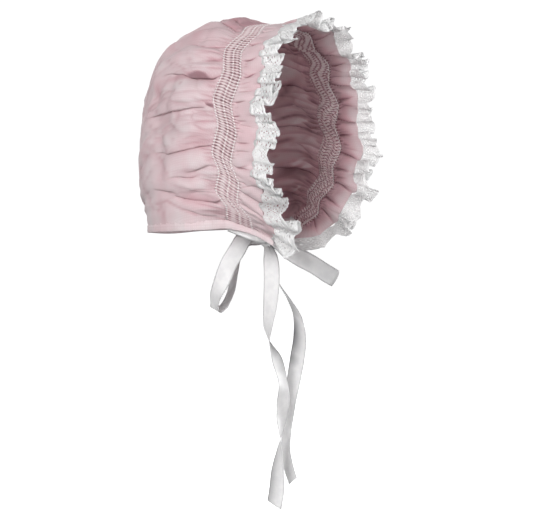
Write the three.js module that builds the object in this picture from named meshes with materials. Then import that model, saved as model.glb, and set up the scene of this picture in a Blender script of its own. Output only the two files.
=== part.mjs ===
// Baby sun bonnet: a gathered crown, a smocked band, a frilled brim with a lace edge, a bound neck edge and
// ribbon ties in a bow. Millimetres, +Z up, the face opening looks along -Y. The origin lies on the inner
// face of the smocked band, at the top and in the middle of its width, where the bonnet sits on a head.
import * as THREE from "three";

// Driving sizes
const faceWidth = 106; // across the smocked band, inside
const faceHeight = 116; // from the top of the smocked band to the neck edge, inside
const faceMiddle = 66; // from the top of the band to its widest place
const chinRoom = 5; // how far below the neck edge the band's oval would close under the chin
const crownDepth = 80; // from the smocked band back to the gathered centre
const crownRise = 7; // how far the crown puffs above the band
const crownSwell = 4; // how far it puffs outside the band at each side
const napeRoom = 30; // how far below the neck edge the crown's full oval would close
const middleDrop = 6; // how far the crown's middle line sinks towards the back
const napeDrop = 4; // the neck edge is this much lower at the nape than at the band
const bandWidth = 13;
const bandSlope = 5; // the band's front edge reaches this much lower than its back edge
const chevronRise = 2.2; // height of the smocking's zigzag, to each side
const brimLength = 14; // frilled cloth in front of the band
const laceWidth = 12;
const bindingHeight = 5.5;
const ribbonWidth = 10;
const tailLength = 150;
const loopLength = 42;
const knotSize = 9;

// Walls and clearances
const clothWall = 1.2;
const bandWall = 1.7;
const pleatDepth = 0.7;
const laceWall = 1;
const bindingWall = 2.2;
const ribbonWall = 1;
const seamGap = 0.3;
const hemGap = 0.6; // between the cloth's foot and the binding below it
const tieClearance = 1.2; // between a tie and the cloth in front of it

// Form of the ovals and of the crown's side view
const ovalSquareness = { near: 2.6, far: 2.1 };
const backSquareness = 2.45;
const neckShare = 0.03; // share of the way round in which the cloth is flat beside the neck edge
const swellShare = 0.1; // share of the depth in which the crown reaches its full puff
const bottomShare = 0.3; // share of the depth in which its lower half reaches full height

// The ovals below their widest place
const hoopBottom = faceHeight - faceMiddle + chinRoom;
const crownBottom = faceHeight - faceMiddle + napeRoom;

// Counts
const chevrons = 12; // zigzags of the smocking round the face
const crownColumns = chevrons * 8;
const neckRows = 9; // rows of the crown where it is open at the neck
const backRows = 5; // rows of its closed back
const bandColumns = chevrons * 16; // two to a pleat
const frillColumns = chevrons * 10;
const frillRows = 2;
const scallopColumns = 3; // columns of the lace to a scallop
const ribbonSteps = 26;
const hoopSamples = 240; // points from which a hoop's even spacing is measured
const sideSamples = 200; // points of the crown's side view

// How the crown's lines run back: each keeps its height beside the head before it turns in to the gathered
// centre. at: place round the face, 0 at the near neck edge and 1 at the far one. drift: how far round the
// face the line moves on its way to the centre.
const crownLines = [
  { at: 0, drift: 0 },
  { at: 0.09, drift: 0.012 },
  { at: 0.15, drift: 0.04 },
  { at: 0.27, drift: 0.085 },
  { at: 0.36, drift: 0.06 },
  { at: 0.5, drift: 0 },
  { at: 0.64, drift: -0.06 },
  { at: 0.73, drift: -0.085 },
  { at: 0.85, drift: -0.04 },
  { at: 0.91, drift: -0.012 },
  { at: 1, drift: 0 },
];

// Folds of the crown. depth: share of foldDepth. width: share of the way round. start, end: shares of the
// way from the band to the gathered centre. drift: how far the fold leaves the crown's own lines.
const foldDepth = 5;
const crownFolds = [
  { at: 0.058, depth: 1.0, width: 0.01, start: 0.0, end: 1.0, drift: -0.006 },
  { at: 0.1, depth: 0.6, width: 0.009, start: 0.0, end: 0.45, drift: 0.008 },
  { at: 0.128, depth: 0.5, width: 0.008, start: 0.02, end: 0.4, drift: -0.02 },
  { at: 0.15, depth: 0.8, width: 0.01, start: 0.0, end: 1.0, drift: 0.0 },
  { at: 0.185, depth: 0.45, width: 0.008, start: 0.0, end: 0.4, drift: 0.01 },
  { at: 0.215, depth: 0.95, width: 0.011, start: 0.0, end: 1.0, drift: -0.008 },
  { at: 0.245, depth: 0.4, width: 0.008, start: 0.0, end: 0.4, drift: -0.01 },
  { at: 0.275, depth: 1.1, width: 0.012, start: 0.0, end: 0.95, drift: 0.008 },
  { at: 0.31, depth: 0.45, width: 0.009, start: 0.0, end: 0.45, drift: 0.008 },
  { at: 0.345, depth: 0.8, width: 0.012, start: 0.0, end: 0.8, drift: 0.0 },
  { at: 0.39, depth: 0.7, width: 0.011, start: 0.0, end: 0.55, drift: -0.01 },
  { at: 0.43, depth: 0.9, width: 0.013, start: 0.0, end: 0.95, drift: 0.01 },
  { at: 0.475, depth: 0.8, width: 0.012, start: 0.0, end: 0.7, drift: 0.012 },
  { at: 0.525, depth: 0.7, width: 0.012, start: 0.0, end: 0.9, drift: -0.01 },
  { at: 0.57, depth: 0.9, width: 0.013, start: 0.0, end: 0.6, drift: 0.008 },
  { at: 0.615, depth: 0.7, width: 0.011, start: 0.0, end: 0.95, drift: 0.0 },
  { at: 0.66, depth: 0.8, width: 0.012, start: 0.0, end: 0.7, drift: 0.01 },
  { at: 0.705, depth: 0.9, width: 0.012, start: 0.0, end: 0.95, drift: -0.006 },
  { at: 0.75, depth: 0.6, width: 0.01, start: 0.0, end: 0.5, drift: 0.008 },
  { at: 0.785, depth: 1.0, width: 0.012, start: 0.0, end: 1.0, drift: 0.004 },
  { at: 0.835, depth: 0.7, width: 0.01, start: 0.0, end: 0.55, drift: -0.008 },
  { at: 0.865, depth: 0.8, width: 0.01, start: 0.0, end: 0.95, drift: 0.01 },
  { at: 0.905, depth: 0.6, width: 0.009, start: 0.0, end: 0.5, drift: -0.006 },
  { at: 0.94, depth: 0.9, width: 0.01, start: 0.0, end: 1.0, drift: 0.004 },
];
const gatherDepth = 0.8; // the fine gathers beside the band and round the gathered centre
const gathers = 24;
const gatherShare = 0.16; // share of the crown's depth that the gathers reach from each end
const centreDent = 4; // how far the gathered centre is drawn in

// Waves of the frill. waves: number round the face. height: share of frillHeight. phase: in turns.
const frillHeight = 3.4;
const frillWaves = [
  { waves: 9, height: 0.55, phase: 0.1 },
  { waves: 17, height: 0.75, phase: 0.35 },
  { waves: 29, height: 0.35, phase: 0.8 },
];
const scallopDepth = 1.3;

// The ways that the brim and its lace point at places round the face: the two ends are drawn together under
// the chin. at: place round the face. Each way is given as x, y and z.
const frillWays = [
  { at: 0, brim: [0.48, -0.7, -0.53], lace: [0.3, -0.45, -0.85] },
  { at: 0.05, brim: [0.2, -0.93, -0.35], lace: [0.25, -0.85, -0.45] },
  { at: 0.12, brim: [0, -1, -0.1], lace: [0.1, -0.97, -0.2] },
  { at: 0.25, brim: [0, -1, 0], lace: [0.05, -1, 0] },
  { at: 0.5, brim: [0, -1, 0.06], lace: [0, -1, 0.08] },
  { at: 0.75, brim: [-0.05, -1, 0], lace: [-0.15, -1, 0] },
  { at: 0.87, brim: [0.05, -0.97, -0.15], lace: [0, -0.95, -0.25] },
  { at: 0.94, brim: [0, -0.9, -0.4], lace: [-0.05, -0.8, -0.6] },
  { at: 1, brim: [-0.55, -0.65, -0.5], lace: [-0.5, -0.5, -0.7] },
];
const chinShare = 0.08; // share of the way round in which the waves fade towards each chin end

// The bow. Its ribbons are laid out in a plane turned by bowYaw about the vertical: aside is to the right in
// that plane, ahead stands out of it and down is below the knot.
const bowYaw = -55;
const knotPlace = { x: -7, y: 3.5, below: 1.055 }; // below is a share of faceHeight

// Routes of the ribbons from the knot. aside, ahead and down are shares of the loop's or the tail's length.
// slant: degrees of the ribbon's width from the level, in the bow's plane. turn: degrees out of that plane.
// spread: share of the full width, less where the knot pinches the ribbon.
const nearLoopRoute = [
  { aside: -0.115, ahead: 0.04, down: 0.0, slant: -80, turn: 0, spread: 0.45 },
  { aside: -0.24, ahead: 0.1, down: -0.06, slant: -85, turn: 0, spread: 0.75 },
  { aside: -0.36, ahead: 0.13, down: -0.01, slant: -62, turn: 0, spread: 1 },
  { aside: -0.48, ahead: 0.14, down: 0.13, slant: -42, turn: 0, spread: 1 },
  { aside: -0.58, ahead: 0.14, down: 0.33, slant: -27, turn: 0, spread: 1 },
  { aside: -0.66, ahead: 0.13, down: 0.58, slant: -20, turn: 4, spread: 1 },
  { aside: -0.73, ahead: 0.1, down: 0.83, slant: -22, turn: 12, spread: 1 },
  { aside: -0.72, ahead: 0.0, down: 0.97, slant: -30, turn: 25, spread: 1 },
  { aside: -0.64, ahead: -0.1, down: 0.92, slant: -24, turn: 45, spread: 1 },
  { aside: -0.56, ahead: -0.15, down: 0.72, slant: -18, turn: 58, spread: 1 },
  { aside: -0.5, ahead: -0.17, down: 0.45, slant: -18, turn: 55, spread: 1 },
  { aside: -0.4, ahead: -0.16, down: 0.2, slant: -45, turn: 35, spread: 0.95 },
  { aside: -0.26, ahead: -0.12, down: 0.04, slant: -80, turn: 10, spread: 0.7 },
  { aside: -0.12, ahead: -0.05, down: 0.02, slant: -88, turn: 0, spread: 0.45 },
];
const farLoopRoute = [
  { aside: 0.105, ahead: 0.04, down: 0.04, slant: 68, turn: 0, spread: 0.45 },
  { aside: 0.27, ahead: 0.09, down: 0.12, slant: 64, turn: 0, spread: 0.85 },
  { aside: 0.45, ahead: 0.1, down: 0.21, slant: 63, turn: 0, spread: 1 },
  { aside: 0.65, ahead: 0.1, down: 0.31, slant: 63, turn: 0, spread: 1 },
  { aside: 0.8, ahead: 0.09, down: 0.41, slant: 63, turn: 0, spread: 1 },
  { aside: 0.91, ahead: 0.055, down: 0.475, slant: 63, turn: 0, spread: 1 },
  { aside: 0.94, ahead: 0.0, down: 0.49, slant: 63, turn: 0, spread: 1 },
  { aside: 0.9, ahead: -0.05, down: 0.465, slant: 63, turn: 0, spread: 1 },
  { aside: 0.78, ahead: -0.07, down: 0.395, slant: 63, turn: 0, spread: 1 },
  { aside: 0.6, ahead: -0.07, down: 0.28, slant: 64, turn: 0, spread: 1 },
  { aside: 0.38, ahead: -0.07, down: 0.165, slant: 66, turn: 0, spread: 0.95 },
  { aside: 0.105, ahead: -0.04, down: 0.05, slant: 72, turn: 0, spread: 0.45 },
];
const frontTailRoute = [
  { aside: 0.004, ahead: 0.012, down: 0.031, slant: 0, turn: 10, spread: 0.5 },
  { aside: 0.013, ahead: 0.02, down: 0.075, slant: 0, turn: 20, spread: 0.95 },
  { aside: 0.017, ahead: 0.022, down: 0.14, slant: 0, turn: 24, spread: 1 },
  { aside: 0.013, ahead: 0.022, down: 0.228, slant: 0, turn: 30, spread: 1 },
  { aside: 0.003, ahead: 0.02, down: 0.33, slant: 0, turn: 56, spread: 1 },
  { aside: 0.008, ahead: 0.02, down: 0.387, slant: 0, turn: 88, spread: 1 },
  { aside: 0.037, ahead: 0.024, down: 0.46, slant: 0, turn: 134, spread: 1 },
  { aside: 0.06, ahead: 0.028, down: 0.55, slant: 0, turn: 118, spread: 1 },
  { aside: 0.06, ahead: 0.028, down: 0.627, slant: 0, turn: 140, spread: 1 },
  { aside: 0.055, ahead: 0.028, down: 0.692, slant: 0, turn: 128, spread: 1 },
  { aside: 0.05, ahead: 0.03, down: 0.77, slant: 0, turn: 90, spread: 1 },
  { aside: 0.04, ahead: 0.032, down: 0.885, slant: 0, turn: 42, spread: 1 },
  { aside: 0.036, ahead: 0.03, down: 0.963, slant: 0, turn: 30, spread: 1 },
  { aside: 0.027, ahead: 0.026, down: 1.02, slant: -12, turn: 32, spread: 1 },
];
const backTailRoute = [
  { aside: 0.004, ahead: -0.012, down: 0.031, slant: 0, turn: 90, spread: 0.5 },
  { aside: 0.02, ahead: -0.03, down: 0.1, slant: 0, turn: 90, spread: 0.9 },
  { aside: 0.045, ahead: -0.045, down: 0.17, slant: 0, turn: 88, spread: 1 },
  { aside: 0.085, ahead: -0.055, down: 0.235, slant: 0, turn: 76, spread: 1 },
  { aside: 0.117, ahead: -0.06, down: 0.3, slant: 0, turn: 60, spread: 1 },
  { aside: 0.126, ahead: -0.062, down: 0.38, slant: 0, turn: 44, spread: 1 },
  { aside: 0.117, ahead: -0.062, down: 0.46, slant: 0, turn: 33, spread: 1 },
  { aside: 0.103, ahead: -0.062, down: 0.545, slant: 0, turn: 36, spread: 1 },
  { aside: 0.088, ahead: -0.064, down: 0.64, slant: 0, turn: 50, spread: 1 },
  { aside: 0.076, ahead: -0.066, down: 0.74, slant: 0, turn: 60, spread: 1 },
  { aside: 0.072, ahead: -0.062, down: 0.82, slant: 4, turn: 58, spread: 1 },
  { aside: 0.084, ahead: -0.054, down: 0.89, slant: 14, turn: 52, spread: 1 },
  { aside: 0.1, ahead: -0.05, down: 0.94, slant: 22, turn: 55, spread: 1 },
];

const up = new THREE.Vector3(0, 0, 1);
const back = new THREE.Vector3(0, 1, 0);
const radians = THREE.MathUtils.degToRad;
const mix = THREE.MathUtils.lerp;
const smooth = THREE.MathUtils.smoothstep;

// The points at shares of the length of a line of points.
function alongLine(line, shares) {
  const lengths = [0];
  for (let k = 1; k < line.length; k++) lengths.push(lengths[k - 1] + line[k].distanceTo(line[k - 1]));
  return shares.map((share) => {
    const target = share * lengths[line.length - 1];
    const k = Math.max(lengths.findIndex((length) => length >= target - 1e-9), 1);
    const step = (target - lengths[k - 1]) / Math.max(lengths[k] - lengths[k - 1], 1e-9);
    return line[k - 1].clone().lerp(line[k], THREE.MathUtils.clamp(step, 0, 1));
  });
}

// A value from a table at a place, straight between its rows.
function valueAt(table, name, place) {
  const row = Math.max(table.findIndex(({ at }) => at >= place - 1e-9), 1);
  const [before, after] = [table[row - 1], table[row]];
  return mix(before[name], after[name], (place - before.at) / (after.at - before.at));
}

// A hoop round the head at shares of its way from its near foot over the top to its far foot. The oval is
// half wide, top high and bottom deep about its middle, and it ends at the height foot or closes above it.
function hoop({ y, half, middle, top, bottom, foot }, shares) {
  const reach = Math.min((middle - foot) / bottom, 1);
  const start = -Math.asin(reach ** (ovalSquareness.near / 2));
  const end = Math.PI + Math.asin(reach ** (ovalSquareness.far / 2));
  const line = [];
  for (let k = 0; k <= hoopSamples; k++) {
    const angle = mix(start, end, k / hoopSamples);
    const power = 2 / (Math.cos(angle) > 0 ? ovalSquareness.near : ovalSquareness.far);
    const across = Math.sign(Math.cos(angle)) * Math.abs(Math.cos(angle)) ** power;
    const high = Math.sign(Math.sin(angle)) * Math.abs(Math.sin(angle)) ** power;
    line.push(new THREE.Vector3(-half * across, y, middle + (high > 0 ? top : bottom) * high));
  }
  return alongLine(line, shares);
}

// Shares of the way round, evenly spaced.
const evenly = (columns) => Array.from({ length: columns + 1 }, (_, i) => i / columns);

const bandFoot = -(faceHeight - bindingHeight - hemGap); // foot of the band's back edge
const frontFoot = bandFoot - bandSlope; // foot of its front edge
const bandBack = bandWidth / 2;

// A hoop of the smocked band or of the cloth beside it. forward runs from 0 at the band's back edge to 1 at
// its front edge.
function bandHoop(forward, columns) {
  const size = { half: faceWidth / 2, middle: -faceMiddle, top: faceMiddle, bottom: hoopBottom };
  const foot = mix(bandFoot, frontFoot, forward);
  return hoop({ ...size, y: mix(bandBack, -bandBack, forward), foot }, evenly(columns));
}

// The zigzag of the smocking at a share of the way round: positive is towards the back.
function chevron(share) {
  const turn = (chevrons * share) % 1;
  return chevronRise * (4 * Math.abs(turn - 0.5) - 1);
}

// The crown's side view, as x: share of its depth and y: share of its full height, evenly spaced along it.
const sideView = Array.from({ length: sideSamples + 1 }, (_, k) => {
  const angle = (k / sideSamples) * (Math.PI / 2);
  const depth = Math.sin(angle) ** (2 / backSquareness);
  return new THREE.Vector3(depth * crownDepth, Math.cos(angle) ** (2 / backSquareness) * faceMiddle, 0);
});

// The oval of the crown at a share of the way from the band to the gathered centre.
function crownSection(share) {
  const [side] = alongLine(sideView, [share]);
  const depth = side.x / crownDepth;
  const taper = side.y / faceMiddle;
  const puff = 1 - Math.exp(-depth / swellShare);
  return {
    y: bandBack + seamGap + side.x,
    half: (faceWidth / 2 + crownSwell * puff) * taper,
    middle: -faceMiddle - middleDrop * depth,
    top: (faceMiddle + crownRise * puff + middleDrop * depth) * taper,
    bottom: mix(hoopBottom, crownBottom, smooth(depth, 0, bottomShare)) * taper,
    foot: bandFoot - napeDrop * depth,
  };
}

// The share of the way back at which the crown's oval closes over the nape.
function napeShare() {
  let open = 0;
  let closed = 1;
  for (let k = 0; k < 40; k++) {
    const tried = (open + closed) / 2;
    const { middle, bottom, foot } = crownSection(tried);
    if (middle - bottom >= foot) closed = tried;
    else open = tried;
  }
  return closed;
}

// How far the crown's cloth stands out from its smooth form.
function foldHeight(share, along) {
  let height = 0;
  for (const fold of crownFolds) {
    const away = share - fold.at - fold.drift * along;
    const reach = smooth(along, fold.start - 0.02, fold.start + 0.1) * (1 - smooth(along, fold.end - 0.3, fold.end));
    height -= fold.depth * foldDepth * reach * Math.exp(-((away / fold.width) ** 2));
  }
  const nearBand = smooth(along, 0, 0.05) * (1 - smooth(along, 0, 2 * gatherShare));
  const nearCentre = smooth(along, 1 - 2 * gatherShare, 1 - gatherShare / 2) * (1 - smooth(along, 0.95, 1));
  height += gatherDepth * (nearBand + nearCentre) * Math.cos(2 * Math.PI * gathers * share);
  return fromNeck(share) * height;
}

// Unit normals of rows of points. A row is open, or closed with its last point on its first. Rows run from
// front to back and their points from the near side to the far one, so that a normal points outwards.
function normalsOf(rows) {
  const last = rows.length - 1;
  return rows.map(({ points, closed }, j) =>
    points.map((point, i) => {
      const n = points.length - 1;
      const before = closed && i === 0 ? points[n - 1] : points[Math.max(i - 1, 0)];
      const after = closed && i === n ? points[1] : points[Math.min(i + 1, n)];
      const round = after.clone().sub(before);
      const along = rows[Math.min(j + 1, last)].points[i].clone().sub(rows[Math.max(j - 1, 0)].points[i]);
      const normal = round.cross(along);
      return normal.lengthSq() > 1e-6 ? normal.normalize() : back.clone();
    }),
  );
}

// Triangles of a closed body, in order of their corners.
class Faces {
  corners = [];
  triangle(a, b, c) {
    const flat = a.distanceTo(b) < 1e-3 || b.distanceTo(c) < 1e-3 || c.distanceTo(a) < 1e-3;
    if (!flat) this.corners.push(a, b, c);
  }
  quad(a, b, c, d) {
    this.triangle(a, b, c);
    this.triangle(a, c, d);
  }
  geometry() {
    const made = new THREE.BufferGeometry().setFromPoints(this.corners);
    made.computeVertexNormals();
    return made;
  }
}

// A wall of cloth between rows of inner and rows of outer points, with rims at its free edges.
function wallGeometry(rows) {
  const faces = new Faces();
  const n = rows[0].inner.length - 1;
  rows.slice(1).forEach((behind, j) => {
    const ahead = rows[j];
    for (let i = 0; i < n; i++) {
      faces.quad(ahead.outer[i], ahead.outer[i + 1], behind.outer[i + 1], behind.outer[i]);
      faces.quad(ahead.inner[i + 1], ahead.inner[i], behind.inner[i], behind.inner[i + 1]);
    }
    if (!ahead.closed) {
      faces.quad(ahead.inner[0], ahead.outer[0], behind.outer[0], behind.inner[0]);
      faces.quad(ahead.outer[n], ahead.inner[n], behind.inner[n], behind.outer[n]);
    }
  });
  const first = rows[0];
  const final = rows[rows.length - 1];
  for (let i = 0; i < n; i++) {
    faces.quad(first.inner[i], first.inner[i + 1], first.outer[i + 1], first.outer[i]);
    faces.quad(final.inner[i + 1], final.inner[i], final.outer[i], final.outer[i + 1]);
  }
  return faces.geometry();
}

// Rises from 0 at the neck edge to 1 a little way round, on either side.
const fromNeck = (share) => smooth(share, 0, neckShare) * smooth(1 - share, 0, neckShare);

// The way in which a wall thickens: level where it nears the neck edge and square to the seams between walls,
// so that neighbouring walls meet face to face.
function thickWay(normal, seam, level) {
  return new THREE.Vector3(normal.x, seam ? 0 : normal.y, normal.z * level).normalize();
}

function crownGeometry() {
  const nape = napeShare();
  const shares = [];
  for (let j = 0; j < neckRows; j++) shares.push((nape * j) / neckRows);
  for (let j = 0; j <= backRows; j++) shares.push(mix(nape, 1, j / backRows));
  const rows = shares.map((along, j) => {
    const section = crownSection(along);
    const lines = evenly(crownColumns).map((share) => share + valueAt(crownLines, "drift", share) * along);
    const points = hoop(section, lines);
    points.forEach((point, i) => {
      point.y += chevron(i / crownColumns) * (1 - smooth(along, 0, 0.25));
    });
    const closed = j >= neckRows;
    if (closed) points[crownColumns].copy(points[0]);
    return { points, closed, along };
  });
  const normals = normalsOf(rows);
  return wallGeometry(
    rows.map(({ points, closed, along }, j) => {
      const inner = points.map((point, i) => {
        const normal = thickWay(normals[j][i], j === 0, 1);
        const dent = centreDent * smooth(along, 0.8, 1);
        return point.clone().addScaledVector(normal, foldHeight(i / crownColumns, along)).addScaledVector(back, -dent);
      });
      const outer = inner.map((point, i) => {
        const level = closed ? 1 : fromNeck(i / crownColumns);
        return point.clone().addScaledVector(thickWay(normals[j][i], j === 0, level), clothWall);
      });
      if (closed) {
        inner[crownColumns].copy(inner[0]);
        outer[crownColumns].copy(outer[0]);
      }
      return { inner, outer, closed };
    }),
  );
}

// The smocked band: pleats stand out by turns, and both edges follow the zigzag of the stitches.
function bandGeometry() {
  const rows = [1, 0].map((forward) => ({ points: bandHoop(forward, bandColumns), closed: false }));
  const normals = normalsOf(rows);
  return wallGeometry(
    rows.map(({ points }, j) => {
      const inner = points.map((point, i) => point.clone().addScaledVector(back, chevron(i / bandColumns)));
      const outer = inner.map((point, i) => {
        const wall = bandWall + (i % 2) * pleatDepth;
        return point.clone().addScaledVector(thickWay(normals[j][i], true, fromNeck(i / bandColumns)), wall);
      });
      return { inner, outer };
    }),
  );
}

// A way of the frill at a share of the way round, from the table.
function frillWay(name, share) {
  const row = Math.max(frillWays.findIndex(({ at }) => at >= share), 1);
  const [before, after] = [frillWays[row - 1], frillWays[row]];
  const step = smooth(share, before.at, after.at);
  return new THREE.Vector3(...before[name]).lerp(new THREE.Vector3(...after[name]), step).normalize();
}

// The frill in front of the band: where it leaves the band, its seam with the lace, the ways of both and the
// height of its wave.
function frillLines() {
  const edge = bandHoop(1, frillColumns);
  return edge.map((place, i) => {
    const share = i / frillColumns;
    const round = edge[Math.min(i + 1, frillColumns)].clone().sub(edge[Math.max(i - 1, 0)]);
    const out = thickWay(round.cross(back), true, fromNeck(share));
    const root = place.clone().addScaledVector(back, chevron(share) - seamGap);
    const seam = root.clone().addScaledVector(frillWay("brim", share), brimLength);
    const wave = frillWaves.reduce(
      (sum, { waves, height, phase }) => sum + height * Math.sin(2 * Math.PI * (waves * share + phase)),
      0,
    );
    const free = smooth(share, 0, chinShare) * smooth(1 - share, 0, chinShare);
    const scallop = i % scallopColumns === 0 ? -scallopDepth : 0;
    return { root, seam, out, laceWay: frillWay("lace", share), scallop, wave: wave * frillHeight * free };
  });
}

function frillGeometry(lines, from, to, wall) {
  const rows = [];
  for (let j = 0; j <= frillRows; j++) {
    const inner = lines.map((line) => frillPoint(line, mix(from, to, j / frillRows)));
    rows.push({ inner, outer: inner.map((point, i) => point.clone().addScaledVector(lines[i].out, wall)) });
  }
  return wallGeometry(rows);
}

// A point of the frill: reach is 0 at the band, 1 at the lace seam and 2 at the lace's free edge.
function frillPoint({ root, seam, out, laceWay, scallop, wave }, reach) {
  const lift = wave * (reach / 2) ** 1.3;
  const onBrim = root.clone().lerp(seam, Math.min(reach, 1));
  const onLace = Math.max(reach - 1, 0);
  const laceReach = laceWidth * onLace + scallop * smooth(onLace, 0.5, 1);
  return onBrim.addScaledVector(laceWay, laceReach).addScaledVector(out, lift);
}

function brimGeometry() {
  return frillGeometry(frillLines(), 1, 0, clothWall);
}

function laceGeometry() {
  const seam = 1 + seamGap / laceWidth;
  return frillGeometry(frillLines(), 2, seam, laceWall);
}

// The feet of the cloth that the binding runs under, from the near chin end round the nape to the far one.
function neckLine() {
  const lines = frillLines();
  const nape = napeShare();
  const side = (i, k) => {
    const feet = [frillPoint(lines[i], 1 - clothWall / brimLength), frillPoint(lines[i], 0.5)];
    feet.push(bandHoop(1, 1)[k].addScaledVector(back, chevronRise));
    feet.push(bandHoop(0, 1)[k].addScaledVector(back, chevronRise));
    for (let j = 1; j < neckRows; j++) feet.push(hoop(crownSection((nape * j) / neckRows), [k])[0]);
    return feet;
  };
  const end = hoop(crownSection(nape), [0])[0].add(new THREE.Vector3(0, -clothWall, -clothWall));
  return [...side(0, 0), end, ...side(frillColumns, 1).reverse()];
}

function bindingGeometry() {
  const feet = neckLine();
  const rows = [0, 1].map((level) => {
    const inner = [];
    const outer = [];
    feet.forEach((foot, i) => {
      const way = feet[Math.min(i + 1, feet.length - 1)].clone().sub(feet[Math.max(i - 1, 0)]);
      const out = up.clone().cross(way).normalize();
      const lowered = foot.clone().addScaledVector(up, -hemGap - level * bindingHeight);
      inner.push(lowered.clone().addScaledVector(out, (clothWall - bindingWall) / 2));
      outer.push(lowered.clone().addScaledVector(out, (clothWall + bindingWall) / 2));
    });
    return { inner, outer };
  });
  return wallGeometry(rows);
}

const knot = new THREE.Vector3(knotPlace.x, knotPlace.y, -knotPlace.below * faceHeight);
const aside = new THREE.Vector3(Math.cos(radians(bowYaw)), Math.sin(radians(bowYaw)), 0);
const ahead = new THREE.Vector3().crossVectors(aside, up);

// A ribbon through stations, each with its place, the way of its width and its width.
function ribbonGeometry(stations) {
  const faces = new Faces();
  const sections = stations.map(({ place, across, width }, k) => {
    const before = stations[Math.max(k - 1, 0)].place;
    const after = stations[Math.min(k + 1, stations.length - 1)].place;
    const way = after.clone().sub(before).normalize();
    const wide = across.clone().addScaledVector(way, -across.dot(way)).normalize();
    const thick = new THREE.Vector3().crossVectors(way, wide);
    const corner = (w, t) =>
      place.clone().addScaledVector(wide, (w * width) / 2).addScaledVector(thick, (t * ribbonWall) / 2);
    return [corner(-1, -1), corner(1, -1), corner(1, 1), corner(-1, 1)];
  });
  sections.slice(1).forEach((next, k) => {
    const here = sections[k];
    for (let c = 0; c < 4; c++) faces.quad(here[c], here[(c + 1) % 4], next[(c + 1) % 4], next[c]);
  });
  const [first, final] = [sections[0], sections[sections.length - 1]];
  faces.quad(first[3], first[2], first[1], first[0]);
  faces.quad(final[0], final[1], final[2], final[3]);
  return faces.geometry();
}

// Stations of a ribbon of the bow, from its route and the length that the route's shares follow.
function bowStations(route, length) {
  const points = route.map((row) =>
    knot
      .clone()
      .addScaledVector(aside, row.aside * length)
      .addScaledVector(ahead, row.ahead * length)
      .addScaledVector(up, -row.down * length),
  );
  const curve = new THREE.CatmullRomCurve3(points, false, "centripetal");
  return Array.from({ length: ribbonSteps + 1 }, (_, k) => {
    const along = (k / ribbonSteps) * (route.length - 1);
    const row = Math.min(Math.floor(along), route.length - 2);
    const column = (name) => mix(route[row][name], route[row + 1][name], along - row);
    const slant = radians(column("slant"));
    const turn = radians(column("turn"));
    const across = aside.clone().multiplyScalar(Math.cos(slant)).addScaledVector(up, Math.sin(slant));
    across.multiplyScalar(Math.cos(turn)).addScaledVector(ahead, Math.sin(turn));
    return { place: curve.getPoint(k / ribbonSteps), across, width: ribbonWidth * column("spread") };
  });
}

// A tie, stitched inside the binding at the band and drawn under the chin end to the knot.
function tieStations(side) {
  const k = side < 0 ? 0 : 1;
  const inside = bindingWall / 2 + tieClearance;
  const low = -hemGap - bindingHeight / 2;
  const start = bandHoop(0, 1)[k].add(new THREE.Vector3(-side * inside, chevronRise, low));
  const bend = bandHoop(1, 1)[k].add(new THREE.Vector3(-side * inside, chevronRise + inside, low));
  const end = knot.clone().addScaledVector(ahead, (-side * (knotSize + ribbonWall)) / 2 - side * seamGap);
  const points = [start, bend, end];
  const curve = new THREE.CatmullRomCurve3(points, false, "centripetal");
  const steps = 10;
  return Array.from({ length: steps + 1 }, (_, j) => {
    const pinch = smooth(j / steps, 0.6, 1);
    return { place: curve.getPoint(j / steps), across: up.clone(), width: ribbonWidth * mix(0.8, 0.5, pinch) };
  });
}

function knotGeometry() {
  const made = new THREE.SphereGeometry(knotSize / 2, 16, 10);
  return made.rotateZ(radians(bowYaw)).translate(knot.x, knot.y, knot.z);
}

const pinkCloth = { color: "#dcc3c7", roughness: 0.9, metalness: 0 };
const smockedCloth = { color: "#dfc6ca", roughness: 0.92, metalness: 0 };
const whiteLace = { color: "#f1f0ef", roughness: 0.95, metalness: 0 };
const whiteSatin = { color: "#e4e2e2", roughness: 0.45, metalness: 0 };

function piece(name, geometry, finish) {
  const mesh = new THREE.Mesh(geometry, new THREE.MeshStandardMaterial(finish));
  mesh.name = name;
  return mesh;
}

const bonnet = new THREE.Group();
bonnet.add(
  piece("crown", crownGeometry(), pinkCloth),
  piece("smocked_band", bandGeometry(), smockedCloth),
  piece("frilled_brim", brimGeometry(), pinkCloth),
  piece("lace_edge", laceGeometry(), whiteLace),
  piece("neck_binding", bindingGeometry(), pinkCloth),
  piece("near_tie", ribbonGeometry(tieStations(-1)), whiteSatin),
  piece("far_tie", ribbonGeometry(tieStations(1)), whiteSatin),
  piece("bow_knot", knotGeometry(), whiteSatin),
  piece("near_bow_loop", ribbonGeometry(bowStations(nearLoopRoute, loopLength)), whiteSatin),
  piece("far_bow_loop", ribbonGeometry(bowStations(farLoopRoute, loopLength)), whiteSatin),
  piece("front_ribbon_tail", ribbonGeometry(bowStations(frontTailRoute, tailLength)), whiteSatin),
  piece("back_ribbon_tail", ribbonGeometry(bowStations(backTailRoute, tailLength)), whiteSatin),
);

export default bonnet;
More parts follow.
